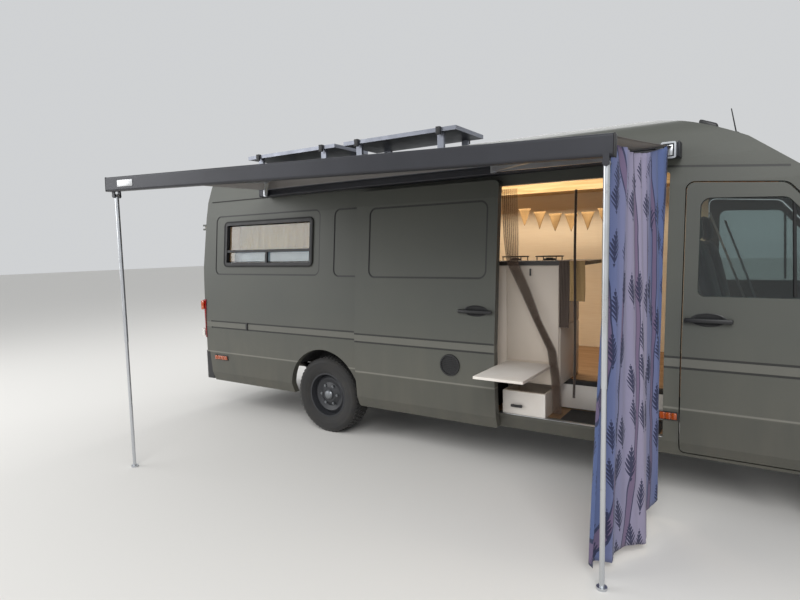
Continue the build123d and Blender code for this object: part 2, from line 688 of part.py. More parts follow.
def sliding_door():
    # The door has run back along its rail and stands just outside the body side.
    shift_y = -(SLIDE_DOOR_THICK + SLIDE_DOOR_OUT)
    x_low = SLIDE_DOOR_X
    x_high = SLIDE_DOOR_X + SLIDE_DOOR_LENGTH
    skin = Pos(0, shift_y, 0) * (OUTER - upper_form(SLIDE_DOOR_THICK))
    points = [
        (x_low, SLIDE_DOOR_Z[0]),
        (x_high, SLIDE_DOOR_Z[0]),
        (x_high, SLIDE_DOOR_Z[1]),
        (x_low, SLIDE_DOOR_Z[1]),
    ]
    y_far, y_near = -OUTSIDE_Y - 100.0, -INSIDE_Y + 100.0
    door = skin & prism_y(points, y_far, y_near, [20.0, 20.0, 45.0, 45.0])
    x_rear, x_front = x_low + SLIDE_FIELD_REAR, x_high - SLIDE_FIELD_FRONT
    z_low, z_high = SLIDE_FIELD_Z
    field = [(x_rear, z_low), (x_front, z_low), (x_front, z_high), (x_rear, z_high)]
    recess = prism_y(field, y_far, y_near, [60.0] * 4) - Pos(0, shift_y, 0) * upper_form(5.0)
    door -= recess
    door -= Pos(0, shift_y, 0) * belt_groove(RIGHT, x_low + 20.0, x_high - 20.0)
    space = Pos(0, shift_y, 0) * upper_form(SLIDE_DOOR_THICK) - upper_form(-FIT)
    # Roller arms bridge the space between the door and the body, as (x_low, x_high, z_low, z_high)
    x_roller = SLIDE_OPENING_X[0] + 10.0
    arms = (
        (x_low + 12.0, x_low + 72.0, 918.0, 950.0),
        (x_roller, x_roller + 65.0, 366.0, 400.0),
        (x_roller, x_roller + 65.0, 2132.0, 2156.0),
    )
    for x_rear, x_front, z_low, z_high in arms:
        door += space & box(x_rear, x_front, -BODY_HALF_WIDTH - 84.0, -INSIDE_Y, z_low, z_high)
    return door


def rear_face_x(z):
    # The rear face stands upright to a third of its height, then leans forward.
    share = max(0.0, (z - 1300.0) / (GUTTER_Z + 150.0 - 1300.0))
    return REAR_X + share * REAR_LEAN


def rear_hinge_fixed(side, z):
    # Two plates on the rear corner hold a pin.
    x_pin = REAR_X - REAR_PIVOT_OUT
    result = Pos(x_pin, side * REAR_PIVOT_Y, z) * Cylinder(REAR_PIN_RADIUS, 60.0)
    for step in (-1, 1):
        z_mid = z + step * 21.0
        z_low, z_high = z_mid - 9.0, z_mid + 9.0
        y_near, y_far = REAR_PIVOT_Y + 16.0, REAR_PIVOT_Y + 36.0
        plate = side_box(side, x_pin - 6.0, x_pin + 6.0, REAR_PIVOT_Y, y_far, z_low, z_high)
        plate += side_box(side, x_pin - 6.0, rear_face_x(z) + 20.0, y_near, y_far, z_low, z_high)
        result += plate + Pos(x_pin, side * REAR_PIVOT_Y, z_mid) * Cylinder(REAR_BARREL_RADIUS, 18.0)
    return result


def rear_hinge_moving(side, z):
    # A strap runs from the pin's knuckle to a pad on the door's outer face.
    x_pin = REAR_X - REAR_PIVOT_OUT
    half = 12.0 - FIT
    y_edge = half_width(z) - REAR_DOOR_INSET
    knuckle_ring = Pos(x_pin, side * REAR_PIVOT_Y, z) * Cylinder(REAR_BARREL_RADIUS, 2 * half)
    strap = side_box(side, x_pin - 10.0, x_pin - 2.0, y_edge - 90.0, REAR_PIVOT_Y, z - half, z + half)
    x_pad = rear_face_x(z) + 10.0
    pad = side_box(side, x_pin - 10.0, x_pad, y_edge - 90.0, y_edge - 20.0, z - half, z + half)
    bore = Pos(x_pin, side * REAR_PIVOT_Y, z) * Cylinder(REAR_PIN_RADIUS + FIT, 80.0)
    return knuckle_ring + strap + pad, bore


def rear_door(side):
    door = SHELL & rear_door_cutter(side, 0.0)
    for z in REAR_HINGE_Z:
        hinge, bore = rear_hinge_moving(side, z)
        door = door + hinge - bore
    return door


# Floor, frame and running gear
def floor_pan():
    y_wall = BODY_HALF_WIDTH - WALL - FIT
    load = box(REAR_X + WALL, B_PILLAR_X, -y_wall, y_wall, FLOOR_Z - FLOOR_THICK, FLOOR_Z)
    y_cab = y_wall - CAB_FLOOR_INSET
    cab = box(B_PILLAR_X, FIREWALL_X - FIT, -y_cab, y_cab, CAB_FLOOR_Z - FLOOR_THICK, CAB_FLOOR_Z)
    riser = box(B_PILLAR_X - 30.0, B_PILLAR_X + 30.0, -y_cab, y_cab, FLOOR_Z - FLOOR_THICK, CAB_FLOOR_Z)
    floor = load + cab + riser
    floor -= front_arch(16.0) - box(B_PILLAR_X, BUMPER_X, -WELL_Y, WELL_Y, 0.0, ROOF_Z)
    rear_wells = rear_arch(0.0) - box(REAR_X, 0.0, -HOUSING_Y, HOUSING_Y, 0.0, ROOF_Z)
    y_housing = HOUSING_Y - HOUSING_THICK
    housings = rear_arch(HOUSING_THICK) - box(REAR_X, 0.0, -y_housing, y_housing, 0.0, ROOF_Z)
    housings &= box(REAR_X, 0.0, -y_wall, y_wall, FLOOR_Z - FLOOR_THICK, ROOF_Z)
    floor = floor + housings - rear_wells
    floor = (floor - step_space() + step_well()) & upper_form(WALL + FIT)
    return floor - box(REAR_X, REAR_X + 98.0, -OUTSIDE_Y, OUTSIDE_Y, 0.0, BUMPER_TOP_Z + 4.0)


def step_space():
    x_low, x_high = SLIDE_OPENING_X
    y_wall = BODY_HALF_WIDTH - WALL - FIT
    return box(x_low, x_high, -OUTSIDE_Y, -y_wall + STEP_DEPTH, 0.0, ROOF_Z)


def step_well():
    # The entrance step, with its riser and its two ends
    x_low, x_high = SLIDE_OPENING_X
    y_low = -(BODY_HALF_WIDTH - WALL - FIT)
    y_back = y_low + STEP_DEPTH
    z_low = STEP_Z - STEP_THICK
    z_high = FLOOR_Z - 1.0
    step = box(x_low + FIT, x_high - FIT, y_low, y_back, z_low, STEP_Z)
    step += box(x_low + FIT, x_high - FIT, y_back, y_back + STEP_THICK, z_low, z_high)
    step += box(x_low - STEP_THICK, x_low + FIT, y_low, y_back + STEP_THICK, z_low, z_high)
    step += box(x_high - FIT, x_high + STEP_THICK, y_low, y_back + STEP_THICK, z_low, z_high)
    return step


# Outriggers and cross members, each group from the axle or the pillar that it goes with
OUTRIGGER_X = (B_PILLAR_X - 1535.0, B_PILLAR_X - 655.0, B_PILLAR_X + 145.0)
KINGPIN_Z = 330.0
CROSS_X = (
    REAR_X + 220.0,
    REAR_AXLE_X - 687.5,
    REAR_AXLE_X + 512.5,
    *OUTRIGGER_X,
    B_PILLAR_X + 645.0,
    COWL_X + 280.0,
)
OUTRIGGER_REACH = 192.0


def chassis_frame():
    top = FLOOR_Z - FLOOR_THICK - FIT
    bottom = top - RAIL_HEIGHT
    y_inner = RAIL_Y - RAIL_WIDTH
    x_end = BUMPER_X - 317.5
    frame = box(CROSS_X[0] - 30.0, CROSS_X[0] + 30.0, -RAIL_Y, RAIL_Y, bottom + 20.0, top - 20.0)
    for side in (LEFT, RIGHT):
        frame += side_box(side, REAR_X + 10.0 + FIT, x_end, y_inner, RAIL_Y, bottom, top)
        frame += side_box(side, x_end - 10.0, CRASH_BOX_X - FIT, y_inner, RAIL_Y - 10.0, 500.0, 590.0)
    for x in CROSS_X[1:]:
        frame += box(x - 30.0, x + 30.0, -RAIL_Y, RAIL_Y, bottom + 20.0, top - 20.0)
    y_reach = RAIL_Y + OUTRIGGER_REACH
    for x in OUTRIGGER_X:
        for side in (LEFT, RIGHT):
            frame += side_box(side, x - 25.0, x + 25.0, RAIL_Y - 5.0, y_reach, top - 60.0, top)
    return frame + front_subframe(top)


def front_subframe(top):
    # A cross beam under the engine with a pair of arms out to each kingpin
    x = FRONT_AXLE_X
    y_pin = TRACK / 2 - KINGPIN_INSET
    beam = box(x - 60.0, x + 60.0, -y_pin + 90.0, y_pin - 90.0, 270.0, 340.0)
    for side in (LEFT, RIGHT):
        beam += side_box(side, x - 40.0, x + 40.0, RAIL_Y - RAIL_WIDTH, RAIL_Y, 300.0, top)
        for z in (KINGPIN_Z - 80.0, KINGPIN_Z + 80.0):
            beam += side_box(side, x - 30.0, x + 30.0, y_pin - 110.0, y_pin, z - 18.0, z + 18.0)
            beam += Pos(x, side * y_pin, z) * Cylinder(30.0, 36.0)
        z_low, z_high = KINGPIN_Z - 98.0, KINGPIN_Z + 98.0
        beam += side_box(side, x - 30.0, x + 30.0, y_pin - 130.0, y_pin - 80.0, z_low, z_high)
        beam += Pos(x, side * y_pin, KINGPIN_Z) * Cylinder(KINGPIN_RADIUS, 190.0)
    return beam


SPRING_Y = (WHEEL_INNER_Y - 232.5, WHEEL_INNER_Y - 162.5)


def rear_axle():
    z = TYRE_RADIUS
    y_end = TRACK / 2 - 70.0
    tube = rod((REAR_AXLE_X, -y_end, z), (REAR_AXLE_X, y_end, z), AXLE_TUBE_RADIUS)
    stub = rod((REAR_AXLE_X, -TRACK / 2 - 20.0, z), (REAR_AXLE_X, TRACK / 2 + 20.0, z), STUB_RADIUS)
    diff = Pos(REAR_AXLE_X, 0, z) * Sphere(140.0)
    shaft = rod((REAR_AXLE_X + 60.0, 0, z), (FRONT_AXLE_X - 712.5, 0, z + 72.0), 38.0)
    axle = tube + stub + diff + shaft
    top = FLOOR_Z - FLOOR_THICK - FIT
    for side in (LEFT, RIGHT):
        y_low, y_high = sorted((side * SPRING_Y[0], side * SPRING_Y[1]))
        leaf = [(-700.0, 555.0), (-500.0, 455.0), (0.0, 400.0), (500.0, 455.0), (700.0, 555.0)]
        lower = [(x, zz - 22.0) for x, zz in reversed(leaf)]
        points = [(REAR_AXLE_X + x, zz) for x, zz in leaf + lower]
        axle += prism_y(points, y_low, y_high)
        axle += side_box(side, REAR_AXLE_X - 60.0, REAR_AXLE_X + 60.0, *SPRING_Y, z, z + 62.0)
        for x in (-700.0, 700.0):
            x_mid = REAR_AXLE_X + x
            axle += side_box(side, x_mid - 24.0, x_mid + 24.0, *SPRING_Y, 530.0, top - FIT)
    return axle


def knuckle(side):
    # The upright turns on the kingpin between the two ears of the subframe and carries the stub axle.
    y_pin = side * (TRACK / 2 - KINGPIN_INSET)
    barrel = Pos(FRONT_AXLE_X, y_pin, KINGPIN_Z) * Cylinder(32.0, 118.0)
    reach = side * (TRACK / 2 + 20.0)
    stub = rod((FRONT_AXLE_X, y_pin, TYRE_RADIUS), (FRONT_AXLE_X, reach, TYRE_RADIUS), STUB_RADIUS)
    return barrel + stub - Pos(FRONT_AXLE_X, y_pin, KINGPIN_Z) * Cylinder(KINGPIN_RADIUS + FIT, 200.0)


HUB_INNER = -40.0


def tyre(x, side):
    # Profile of the tyre as (radius, offset from its middle)
    half = TYRE_WIDTH / 2
    points = [
        (RIM_RADIUS, -half + 20.0),
        (TYRE_RADIUS - 70.0, -half),
        (TYRE_RADIUS - 26.0, -half + 6.0),
        (TYRE_RADIUS, -half + 30.0),
        (TYRE_RADIUS, half - 30.0),
        (TYRE_RADIUS - 26.0, half - 6.0),
        (TYRE_RADIUS - 70.0, half),
        (RIM_RADIUS, half - 20.0),
    ]
    face = make_face(Polyline(*[(r, 0, w) for r, w in points], close=True))
    ring = revolve(face, axis=Axis.Z, revolution_arc=360)
    return Pos(x, side * TRACK / 2, TYRE_RADIUS) * (Rot(90, 0, 0) * ring)


def rim(x, side):
    # Steel wheel: a barrel with a dished centre disc and a hub bored for the stub axle
    half = TYRE_WIDTH / 2
    r_out = RIM_RADIUS - RIM_FIT
    # Profile as (radius, offset from the wheel's middle, outwards positive)
    profile = [
        (r_out, -half + 18.0),
        (r_out, half - 18.0),
        (r_out - 14.0, half - 18.0),
        (r_out - 26.0, 40.0),
        (150.0, 62.0),
        (110.0, 46.0),
        (70.0, 66.0),
        (STUB_RADIUS + STUB_FIT, 66.0),
        (STUB_RADIUS + STUB_FIT, HUB_INNER),
        (60.0, HUB_INNER),
        (110.0, 30.0),
        (r_out - 30.0, 24.0),
        (r_out - 20.0, -half + 18.0),
    ]
    face = make_face(Polyline(*[(r, 0, side * w) for r, w in profile], close=True))
    ring = revolve(face, axis=Axis.Z, revolution_arc=360)
    return Pos(x, side * TRACK / 2, TYRE_RADIUS) * (Rot(-90, 0, 0) * ring)


TANK_LENGTH = 780.0
TANK_Z = (330.0, 548.0)


def fuel_tank():
    x_low = REAR_AXLE_X + 1112.5
    y_low, y_high = RAIL_Y + 52.0, RAIL_Y + 452.0
    points = [(y_low, TANK_Z[0]), (y_high, TANK_Z[0]), (y_high, TANK_Z[1]), (y_low, TANK_Z[1])]
    tank = prism_x(points, x_low, x_low + TANK_LENGTH, [30.0] * 4)
    for x in (x_low + 140.0, x_low + 640.0):
        tank += box(x - 20.0, x + 20.0, y_low + 20.0, y_high - 20.0, 500.0, FLOOR_Z - FLOOR_THICK - FIT)
    return tank


SILENCER_RADIUS = 76.0


def exhaust():
    y = -(RAIL_Y + 62.0)
    z = 478.0
    x_box = B_PILLAR_X - 55.0
    pipe = rod((FRONT_AXLE_X - 112.5, y, z), (REAR_X + 290.0, y, z), 26.0)
    pipe += rod((x_box, y - 10.0, z - 30.0), (x_box - 540.0, y - 10.0, z - 30.0), SILENCER_RADIUS)
    hanger_top = FLOOR_Z - FLOOR_THICK - 60.0 - 3 * FIT
    for x in OUTRIGGER_X:
        pipe += box(x - 12.0, x + 12.0, y - 10.0, y + 10.0, z, hanger_top)
    return pipe


def engine_block():
    half = RAIL_Y - RAIL_WIDTH - FIT
    return box(FIREWALL_X + 50.0, FIREWALL_X + 410.0, -half, half, 500.0, 1010.0)


def dashboard():
    # Moulded dash across the cab with the column and the wheel on the left
    x = FIREWALL_X - FIT
    points = [
        (x, 960.0),
        (x, 1235.0),
        (x - 140.0, 1225.0),
        (x - 300.0, 1150.0),
        (x - 350.0, 1040.0),
        (x - 300.0, 950.0),
    ]
    y_end = BODY_HALF_WIDTH - 116.0
    dash = prism_y(points, -y_end, y_end, [1.0, 1.0, 60.0, 50.0, 40.0, 30.0])
    y = SEAT_ROWS[0][0]
    column = rod((x - 250.0, y, 1040.0), (x - 450.0, y, 1120.0), 28.0)
    plane = Plane(origin=(x - 460.0, y, 1124.0), z_dir=(-0.928, 0, 0.371))
    section = Plane.XZ * Pos(195.0, 0) * RegularPolygon(14.0, 8)
    ring = plane * revolve(section, axis=Axis.Z, revolution_arc=360)
    hub = plane * Cylinder(48.0, 30.0)
    spokes = None
    for turn in (90.0, 210.0, 330.0):
        spoke = plane * (Rot(0, 0, turn) * (Pos(115.0, 0, 0) * Box(160.0, 30.0, 12.0)))
        spokes = spoke if spokes is None else spokes + spoke
    return dash + column + ring + hub + spokes


SEAT_X = FRONT_AXLE_X - 682.5
SEAT_ROWS = ((430.0, 520.0), (-430.0, 520.0))


def padded_block(length, width, height, radius):
    # A cushion, rounded as seen from the side
    x, z = length / 2, height / 2
    points = [(-x, -z), (x, -z), (x, z), (-x, z)]
    return prism_y(points, -width / 2, width / 2, [radius] * 4)


def cab_seats():
    seats = []
    for y, width in SEAT_ROWS:
        base = box(SEAT_X - 210.0, SEAT_X + 190.0, y - 200.0, y + 200.0, CAB_FLOOR_Z + FIT, 985.0)
        cushion = padded_block(510.0, width, 130.0, 35.0)
        back = padded_block(120.0, width, 640.0, 40.0)
        head = padded_block(90.0, 270.0, 200.0, 30.0)
        seat = base + Pos(SEAT_X + 15.0, y, 1045.0) * cushion
        seat += Pos(SEAT_X - 240.0, y, 1100.0) * (Rot(0, -14, 0) * (Pos(0, 0, 300.0) * back))
        seats.append(seat + Pos(SEAT_X - 400.0, y, 1790.0) * (Rot(0, -10, 0) * head))
    return seats


# Living space
ENTRY_X = SLIDE_OPENING_X[0]
KITCHEN_X = (ENTRY_X - 525.0, ENTRY_X + 488.0)
KITCHEN_FRONT_Y = -BODY_HALF_WIDTH + 150.0
KITCHEN_Y = (KITCHEN_FRONT_Y, KITCHEN_FRONT_Y + 486.0)
WORKTOP_Z = 1566.0
WORKTOP_THICK = 28.0
WORKTOP_LIP = 12.0
WORKTOP_X_END = KITCHEN_X[1] + 175.0
TABLE_X = (ENTRY_X + 100.0, ENTRY_X + 450.0)
TABLE_Z = 820.0
TABLE_DEPTH = 610.0
TABLE_THICK = 18.0
TABLE_HINGE_Y = KITCHEN_Y[0] - 14.0
DRAWER_X = (ENTRY_X + 107.0, ENTRY_X + 427.0)
DRAWER_Y = (-BODY_HALF_WIDTH + 31.0, -BODY_HALF_WIDTH + 356.0)
DRAWER_WALL = 12.0
DRAWER_Z = (STEP_Z + FIT, 618.0)


def kitchen_unit():
    unit = box(*KITCHEN_X, *KITCHEN_Y, FLOOR_Z + FIT, WORKTOP_Z - WORKTOP_THICK - FIT)
    ledge = box(*TABLE_X, TABLE_HINGE_Y + FIT, KITCHEN_Y[0], TABLE_Z - TABLE_THICK - 12.0, TABLE_Z + 2.0)
    return unit + ledge


def worktop():
    y_low, y_high = KITCHEN_Y[0] - WORKTOP_LIP, KITCHEN_Y[1] + WORKTOP_LIP
    return box(KITCHEN_X[0], WORKTOP_X_END, y_low, y_high, WORKTOP_Z - WORKTOP_THICK, WORKTOP_Z)


def folding_table():
    return box(*TABLE_X, TABLE_HINGE_Y - TABLE_DEPTH, TABLE_HINGE_Y, TABLE_Z - TABLE_THICK, TABLE_Z)


def step_drawer():
    outer = box(*DRAWER_X, *DRAWER_Y, *DRAWER_Z)
    x_low, x_high = DRAWER_X[0] + DRAWER_WALL, DRAWER_X[1] - DRAWER_WALL
    y_low, y_high = DRAWER_Y[0] + 20.0, DRAWER_Y[1] - DRAWER_WALL
    return outer - box(x_low, x_high, y_low, y_high, DRAWER_Z[0] + 10.0, DRAWER_Z[1] + 1.0)


SHELF_Z = 2200.0
SHELF_DEPTH = 321.0


def overhead_shelf():
    y_front = half_width(SHELF_Z) - WALL - SHELF_DEPTH
    x_low, x_high = ENTRY_X - 1225.0, SLIDE_OPENING_X[1] + 35.0
    shelf = box(x_low, x_high, y_front, BODY_HALF_WIDTH, SHELF_Z - 20.0, SHELF_Z) & upper_form(WALL + FIT)
    return shelf + box(x_low, x_high, y_front, y_front + 18.0, SHELF_Z, SHELF_Z + 80.0)


BED_X = (REAR_X + 110.0, REAR_X + 1570.0)
BED_Z = 1200.0


def bed_base():
    wall = half_width(BED_Z) - WALL - 3.0
    board = box(*BED_X, -wall + 20.0, wall - 20.0, BED_Z - 30.0, BED_Z)
    legs = box(BED_X[1] - 40.0, BED_X[1], -HOUSING_Y + 40.0, HOUSING_Y - 40.0, FLOOR_Z + FIT, BED_Z - 30.0)
    rear = box(BED_X[0], BED_X[0] + 40.0, -wall + 20.0, -wall + 120.0, FLOOR_Z + FIT, BED_Z - 30.0)
    rear += box(BED_X[0], BED_X[0] + 40.0, wall - 120.0, wall - 20.0, FLOOR_Z + FIT, BED_Z - 30.0)
    return board + legs + rear


MATTRESS_THICK = 140.0


def mattress():
    wall = half_width(BED_Z + 150.0) - WALL - 3.0
    y = wall - 40.0
    z_low, z_high = BED_Z + FIT, BED_Z + MATTRESS_THICK
    points = [(-y, z_low), (y, z_low), (y, z_high), (-y, z_high)]
    return prism_x(points, BED_X[0] + 10.0, BED_X[1] - 10.0, [30.0] * 4)


def interior_linen():
    # Window curtain, door gauze and tea towel
    curtain = (upper_form(WALL + FIT) - upper_form(WALL + 12.0)) & window_prism(RIGHT, 30.0)
    y_edge = KITCHEN_Y[0] - WORKTOP_LIP - FIT
    towel = box(KITCHEN_X[1] + 12.0, WORKTOP_X_END - 4.0, y_edge - 7.0, y_edge, 1290.0, WORKTOP_Z - 4.0)
    return [curtain, towel]


# Side window
def side_window_frame():
    ring = (upper_form(-4.0) - upper_form(WALL - 20.0)) & window_prism(RIGHT, -FIT)
    ring -= window_prism(RIGHT, -34.0)
    bar_z = WINDOW_Z[0] + 150.0
    mid_x = (WINDOW_X[0] + WINDOW_X[1]) / 2
    y_far, y_near = -BODY_HALF_WIDTH, -BODY_HALF_WIDTH + 116.0
    cross = box(WINDOW_X[0] + 20.0, WINDOW_X[1] - 20.0, y_far, y_near, bar_z - 12.0, bar_z + 12.0)
    post = box(mid_x - 12.0, mid_x + 12.0, y_far, y_near, WINDOW_Z[0] + 20.0, bar_z)
    bars = (cross + post) & (upper_form(2.0) - upper_form(22.0))
    return ring + bars


def side_window_glass():
    panes = (upper_form(26.0) - upper_form(31.0)) & window_prism(RIGHT, -34.0 - FIT)
    return panes


# Roof
PANEL_LENGTH = 1180.0
PANEL_WIDTH = 540.0
PANEL_THICK = 35.0
PANEL_Z = ROOF_Z + 72.0
PANELS = (REAR_X + 370.0, REAR_X + 1660.0)
PANEL_Y = -560.0


def solar_panels():
    result = []
    for x in PANELS:
        panel = box(x, x + PANEL_LENGTH, PANEL_Y, PANEL_Y + PANEL_WIDTH, PANEL_Z, PANEL_Z + PANEL_THICK)
        for foot_x in (x + 160.0, x + PANEL_LENGTH - 160.0):
            for y in (PANEL_Y + 40.0, PANEL_Y + PANEL_WIDTH - 40.0):
                panel += box(foot_x - 30.0, foot_x + 30.0, y - 15.0, y + 15.0, ROOF_Z - 200.0, PANEL_Z)
        result.append(panel)
    skin = upper_form(-FIT)
    return [p - skin for p in result]


# Awning
BOX_X = (REAR_X + 970.0, B_PILLAR_X - 35.0)
BOX_Z = (GUTTER_Z - 7.0, GUTTER_Z + 85.0)
BOX_Y = (-BODY_HALF_WIDTH - 19.0, -BODY_HALF_WIDTH + 100.0)
RAIL_LEFT = (BOX_X[0] - 139.0, BOX_Y[0] - 1381.0, BOX_Z[0] + 12.0)
RAIL_RIGHT = (BOX_X[1] - 136.0, BOX_Y[0] - 1069.0, BOX_Z[0] - 67.0)
RAIL_TALL = 105.0
RAIL_DEEP = 68.0
ARM_LENGTH = 1000.0
KNOB_RADIUS = 20.0
LEG_OFFSET = 32.0
LEG_INSET = 27.0
LEG_RADIUS = 15.0
LEG_BORE = 13.2
LEG_LOWER_RADIUS = 12.6
LEG_LOWER_BORE = 10.5
PIVOT_DROP = 30.0


def awning_box():
    x_low, x_high = BOX_X
    y_low, y_high = BOX_Y
    z_low, z_high = BOX_Z
    points = [
        (y_high, z_low),
        (y_high, z_high),
        (y_low + 20.0, z_high),
        (y_low, z_high - 40.0),
        (y_low, z_low),
    ]
    case = prism_x(points, x_low, x_high, [8.0, 12.0, 24.0, 20.0, 8.0])
    for x in (x_low + 200.0, (x_low + x_high) / 2 + 10.0, x_high - 180.0):
        bracket = box(x - 30.0, x + 30.0, y_high - 5.0, y_high + 76.0, z_low + 20.0, z_low + 70.0)
        case += bracket - upper_form(-FIT)
    return case


def rail_vector():
    return Vector(*RAIL_RIGHT) - Vector(*RAIL_LEFT)


def rail_point(from_left, sideways=0.0, up=0.0):
    way = rail_vector().normalized()
    across = Vector(way.Y, -way.X, 0).normalized()
    point = Vector(*RAIL_LEFT) + way * from_left + across * sideways + Vector(0, 0, up)
    return point


def awning_rail():
    way = rail_vector()
    plane = Plane(origin=RAIL_LEFT, x_dir=(way.Y, -way.X, 0), z_dir=way)
    profile = plane * Rectangle(RAIL_DEEP, RAIL_TALL)
    rail = extrude(profile, amount=way.length)
    rail = fillet(rail.edges().filter_by(Axis(origin=(0, 0, 0), direction=way)), 14.0)
    for row in leg_table():
        rail += row["lugs"]
    return rail


def rail_across():
    way = rail_vector().normalized()
    return Vector(way.Y, -way.X, 0).normalized()


def leg_table():
    rows = []
    length = rail_vector().length
    places = (("left", LEG_INSET, -LEG_OFFSET), ("right", length - LEG_INSET, LEG_OFFSET))
    for name, along, offset in places:
        pivot = rail_point(along, offset, -RAIL_TALL / 2 - PIVOT_DROP)
        across = rail_across()
        lugs = None
        for step in (-1, 1):
            centre = pivot + across * (step * 24.0)
            plane = Plane(origin=centre - across * 5.0, z_dir=across)
            plate = extrude(plane * Circle(16.0), amount=10.0)
            top = centre + Vector(0, 0, PIVOT_DROP + 12.0)
            web = bar(tuple(centre), tuple(top), 10.0, 28.0, across)
            plate += web
            lugs = plate if lugs is None else lugs + plate
        pin_plane = Plane(origin=pivot - across * 26.0, z_dir=across)
        lugs += extrude(pin_plane * Circle(5.0), amount=52.0)
        rows.append({"name": name, "pivot": pivot, "lugs": lugs, "across": across})
    return rows


LEG_SPLIT_Z = 1000.0
FOOT_RADIUS = 26.0
FOOT_THICK = 14.0
PEG_OFFSET = 19.3
PEG_RADIUS = 3.5


def leg_upper(row):
    pivot = row["pivot"]
    across = row["across"]
    tube = Pos(pivot.X, pivot.Y, (pivot.Z + LEG_SPLIT_Z) / 2) * Cylinder(LEG_RADIUS, pivot.Z - LEG_SPLIT_Z)
    bore = Pos(pivot.X, pivot.Y, LEG_SPLIT_Z + (pivot.Z - 60.0 - LEG_SPLIT_Z) / 2) * Cylinder(
        LEG_BORE, pivot.Z - 60.0 - LEG_SPLIT_Z + 1.0
    )
    head_plane = Plane(origin=pivot - across * 14.0, z_dir=across)
    head = extrude(head_plane * Circle(16.0), amount=28.0)
    hole_plane = Plane(origin=pivot - across * 40.0, z_dir=across)
    hole = extrude(hole_plane * Circle(5.1), amount=80.0)
    return tube - bore + head - hole


def leg_lower(row):
    pivot = row["pivot"]
    top_z = 1480.0
    tube = Pos(pivot.X, pivot.Y, (top_z + 8.0) / 2) * Cylinder(LEG_LOWER_RADIUS, top_z - 8.0)
    foot = Pos(pivot.X, pivot.Y, FOOT_THICK / 2) * Cylinder(FOOT_RADIUS, FOOT_THICK)
    peg_hole = Pos(pivot.X, pivot.Y - PEG_OFFSET, FOOT_THICK / 2) * Cylinder(PEG_RADIUS, FOOT_THICK + 2.0)
    return tube + foot - peg_hole


def awning_cloth():
    sag = 4.0
    x_low, x_high = BOX_X[0] + 30.0, BOX_X[1] - 30.0
    z_box = BOX_Z[0] + 64.0
    y_box = BOX_Y[0] - FIT
    start = make_face(
        Polyline(
            (x_low, y_box, z_box),
            (x_high, y_box, z_box),
            (x_high, y_box, z_box + sag),
            (x_low, y_box, z_box + sag),
            close=True,
        )
    )
    left = rail_point(30.0, 0.0, RAIL_TALL / 2 + FIT)
    right = rail_point(rail_vector().length - 30.0, 0.0, RAIL_TALL / 2 + FIT)
    up = Vector(0, 0, sag)
    end = make_face(Polyline(left, right, right + up, left + up, close=True))
    return loft([start, end], ruled=True)


def awning_arms():
    arms = []
    length = rail_vector().length
    rail_gap = RAIL_DEEP / 2 + FIT + KNOB_RADIUS
    for shoulder_x, along, lean in ((BOX_X[0] + 100.0, 180.0, 1), (BOX_X[1] - 100.0, length - 180.0, -1)):
        shoulder = Vector(shoulder_x, BOX_Y[0] - FIT - KNOB_RADIUS, BOX_Z[0] + 27.0)
        wrist = rail_point(along, -rail_gap, 10.0)
        middle = (shoulder + wrist) * 0.5
        half = (wrist - shoulder).length / 2
        out = math.sqrt(ARM_LENGTH ** 2 - half ** 2)
        way = (wrist - shoulder).normalized()
        across = Vector(0, 0, 1).cross(way).normalized()
        if across.X * lean < 0:
            across = across * -1.0
        elbow = middle + across * out
        arm = bar(tuple(shoulder), tuple(elbow), 26.0, 40.0)
        arm += bar(tuple(wrist), tuple(elbow), 26.0, 34.0)
        for joint, tall in ((shoulder, 46.0), (elbow, 50.0), (wrist, 40.0)):
            arm += Pos(joint.X, joint.Y, joint.Z) * Cylinder(KNOB_RADIUS, tall)
        arms.append(arm)
    return arms


# Curtain at the awning's front end, as places of its two upright edges
CURTAIN_OUTER = (RAIL_RIGHT[0] - 54.0, RAIL_RIGHT[1] + 94.0, 40.0, RAIL_RIGHT[2] + 59.2)
CURTAIN_INNER = (BOX_X[1] - 34.0, BOX_Y[0] - 27.0, 310.0, BOX_Z[0] + 61.3)


def side_curtain():
    ox, oy, oz0, oz1 = CURTAIN_OUTER
    ix, iy, iz0, iz1 = CURTAIN_INNER
    way = Vector(ix - ox, iy - oy, 0).normalized()
    across = Vector(-way.Y, way.X, 0) * 30.0
    points = [
        Vector(ox, oy, oz0) - across,
        Vector(ix, iy, iz0) - across,
        Vector(ix, iy, iz1) - across,
        Vector(ox, oy, oz1) - across,
    ]
    face = make_face(Polyline(*points, close=True))
    return extrude(face, amount=60.0, dir=tuple(across))


def save(name, shape):
    solids = []
    items = shape if isinstance(shape, (list, tuple)) else [shape]
    for item in items:
        solids += list(item.solids())
    body = solids[0] if len(solids) == 1 else Compound(children=solids)
    body.label = name
    export_step(body, "parts/" + name + ".step")


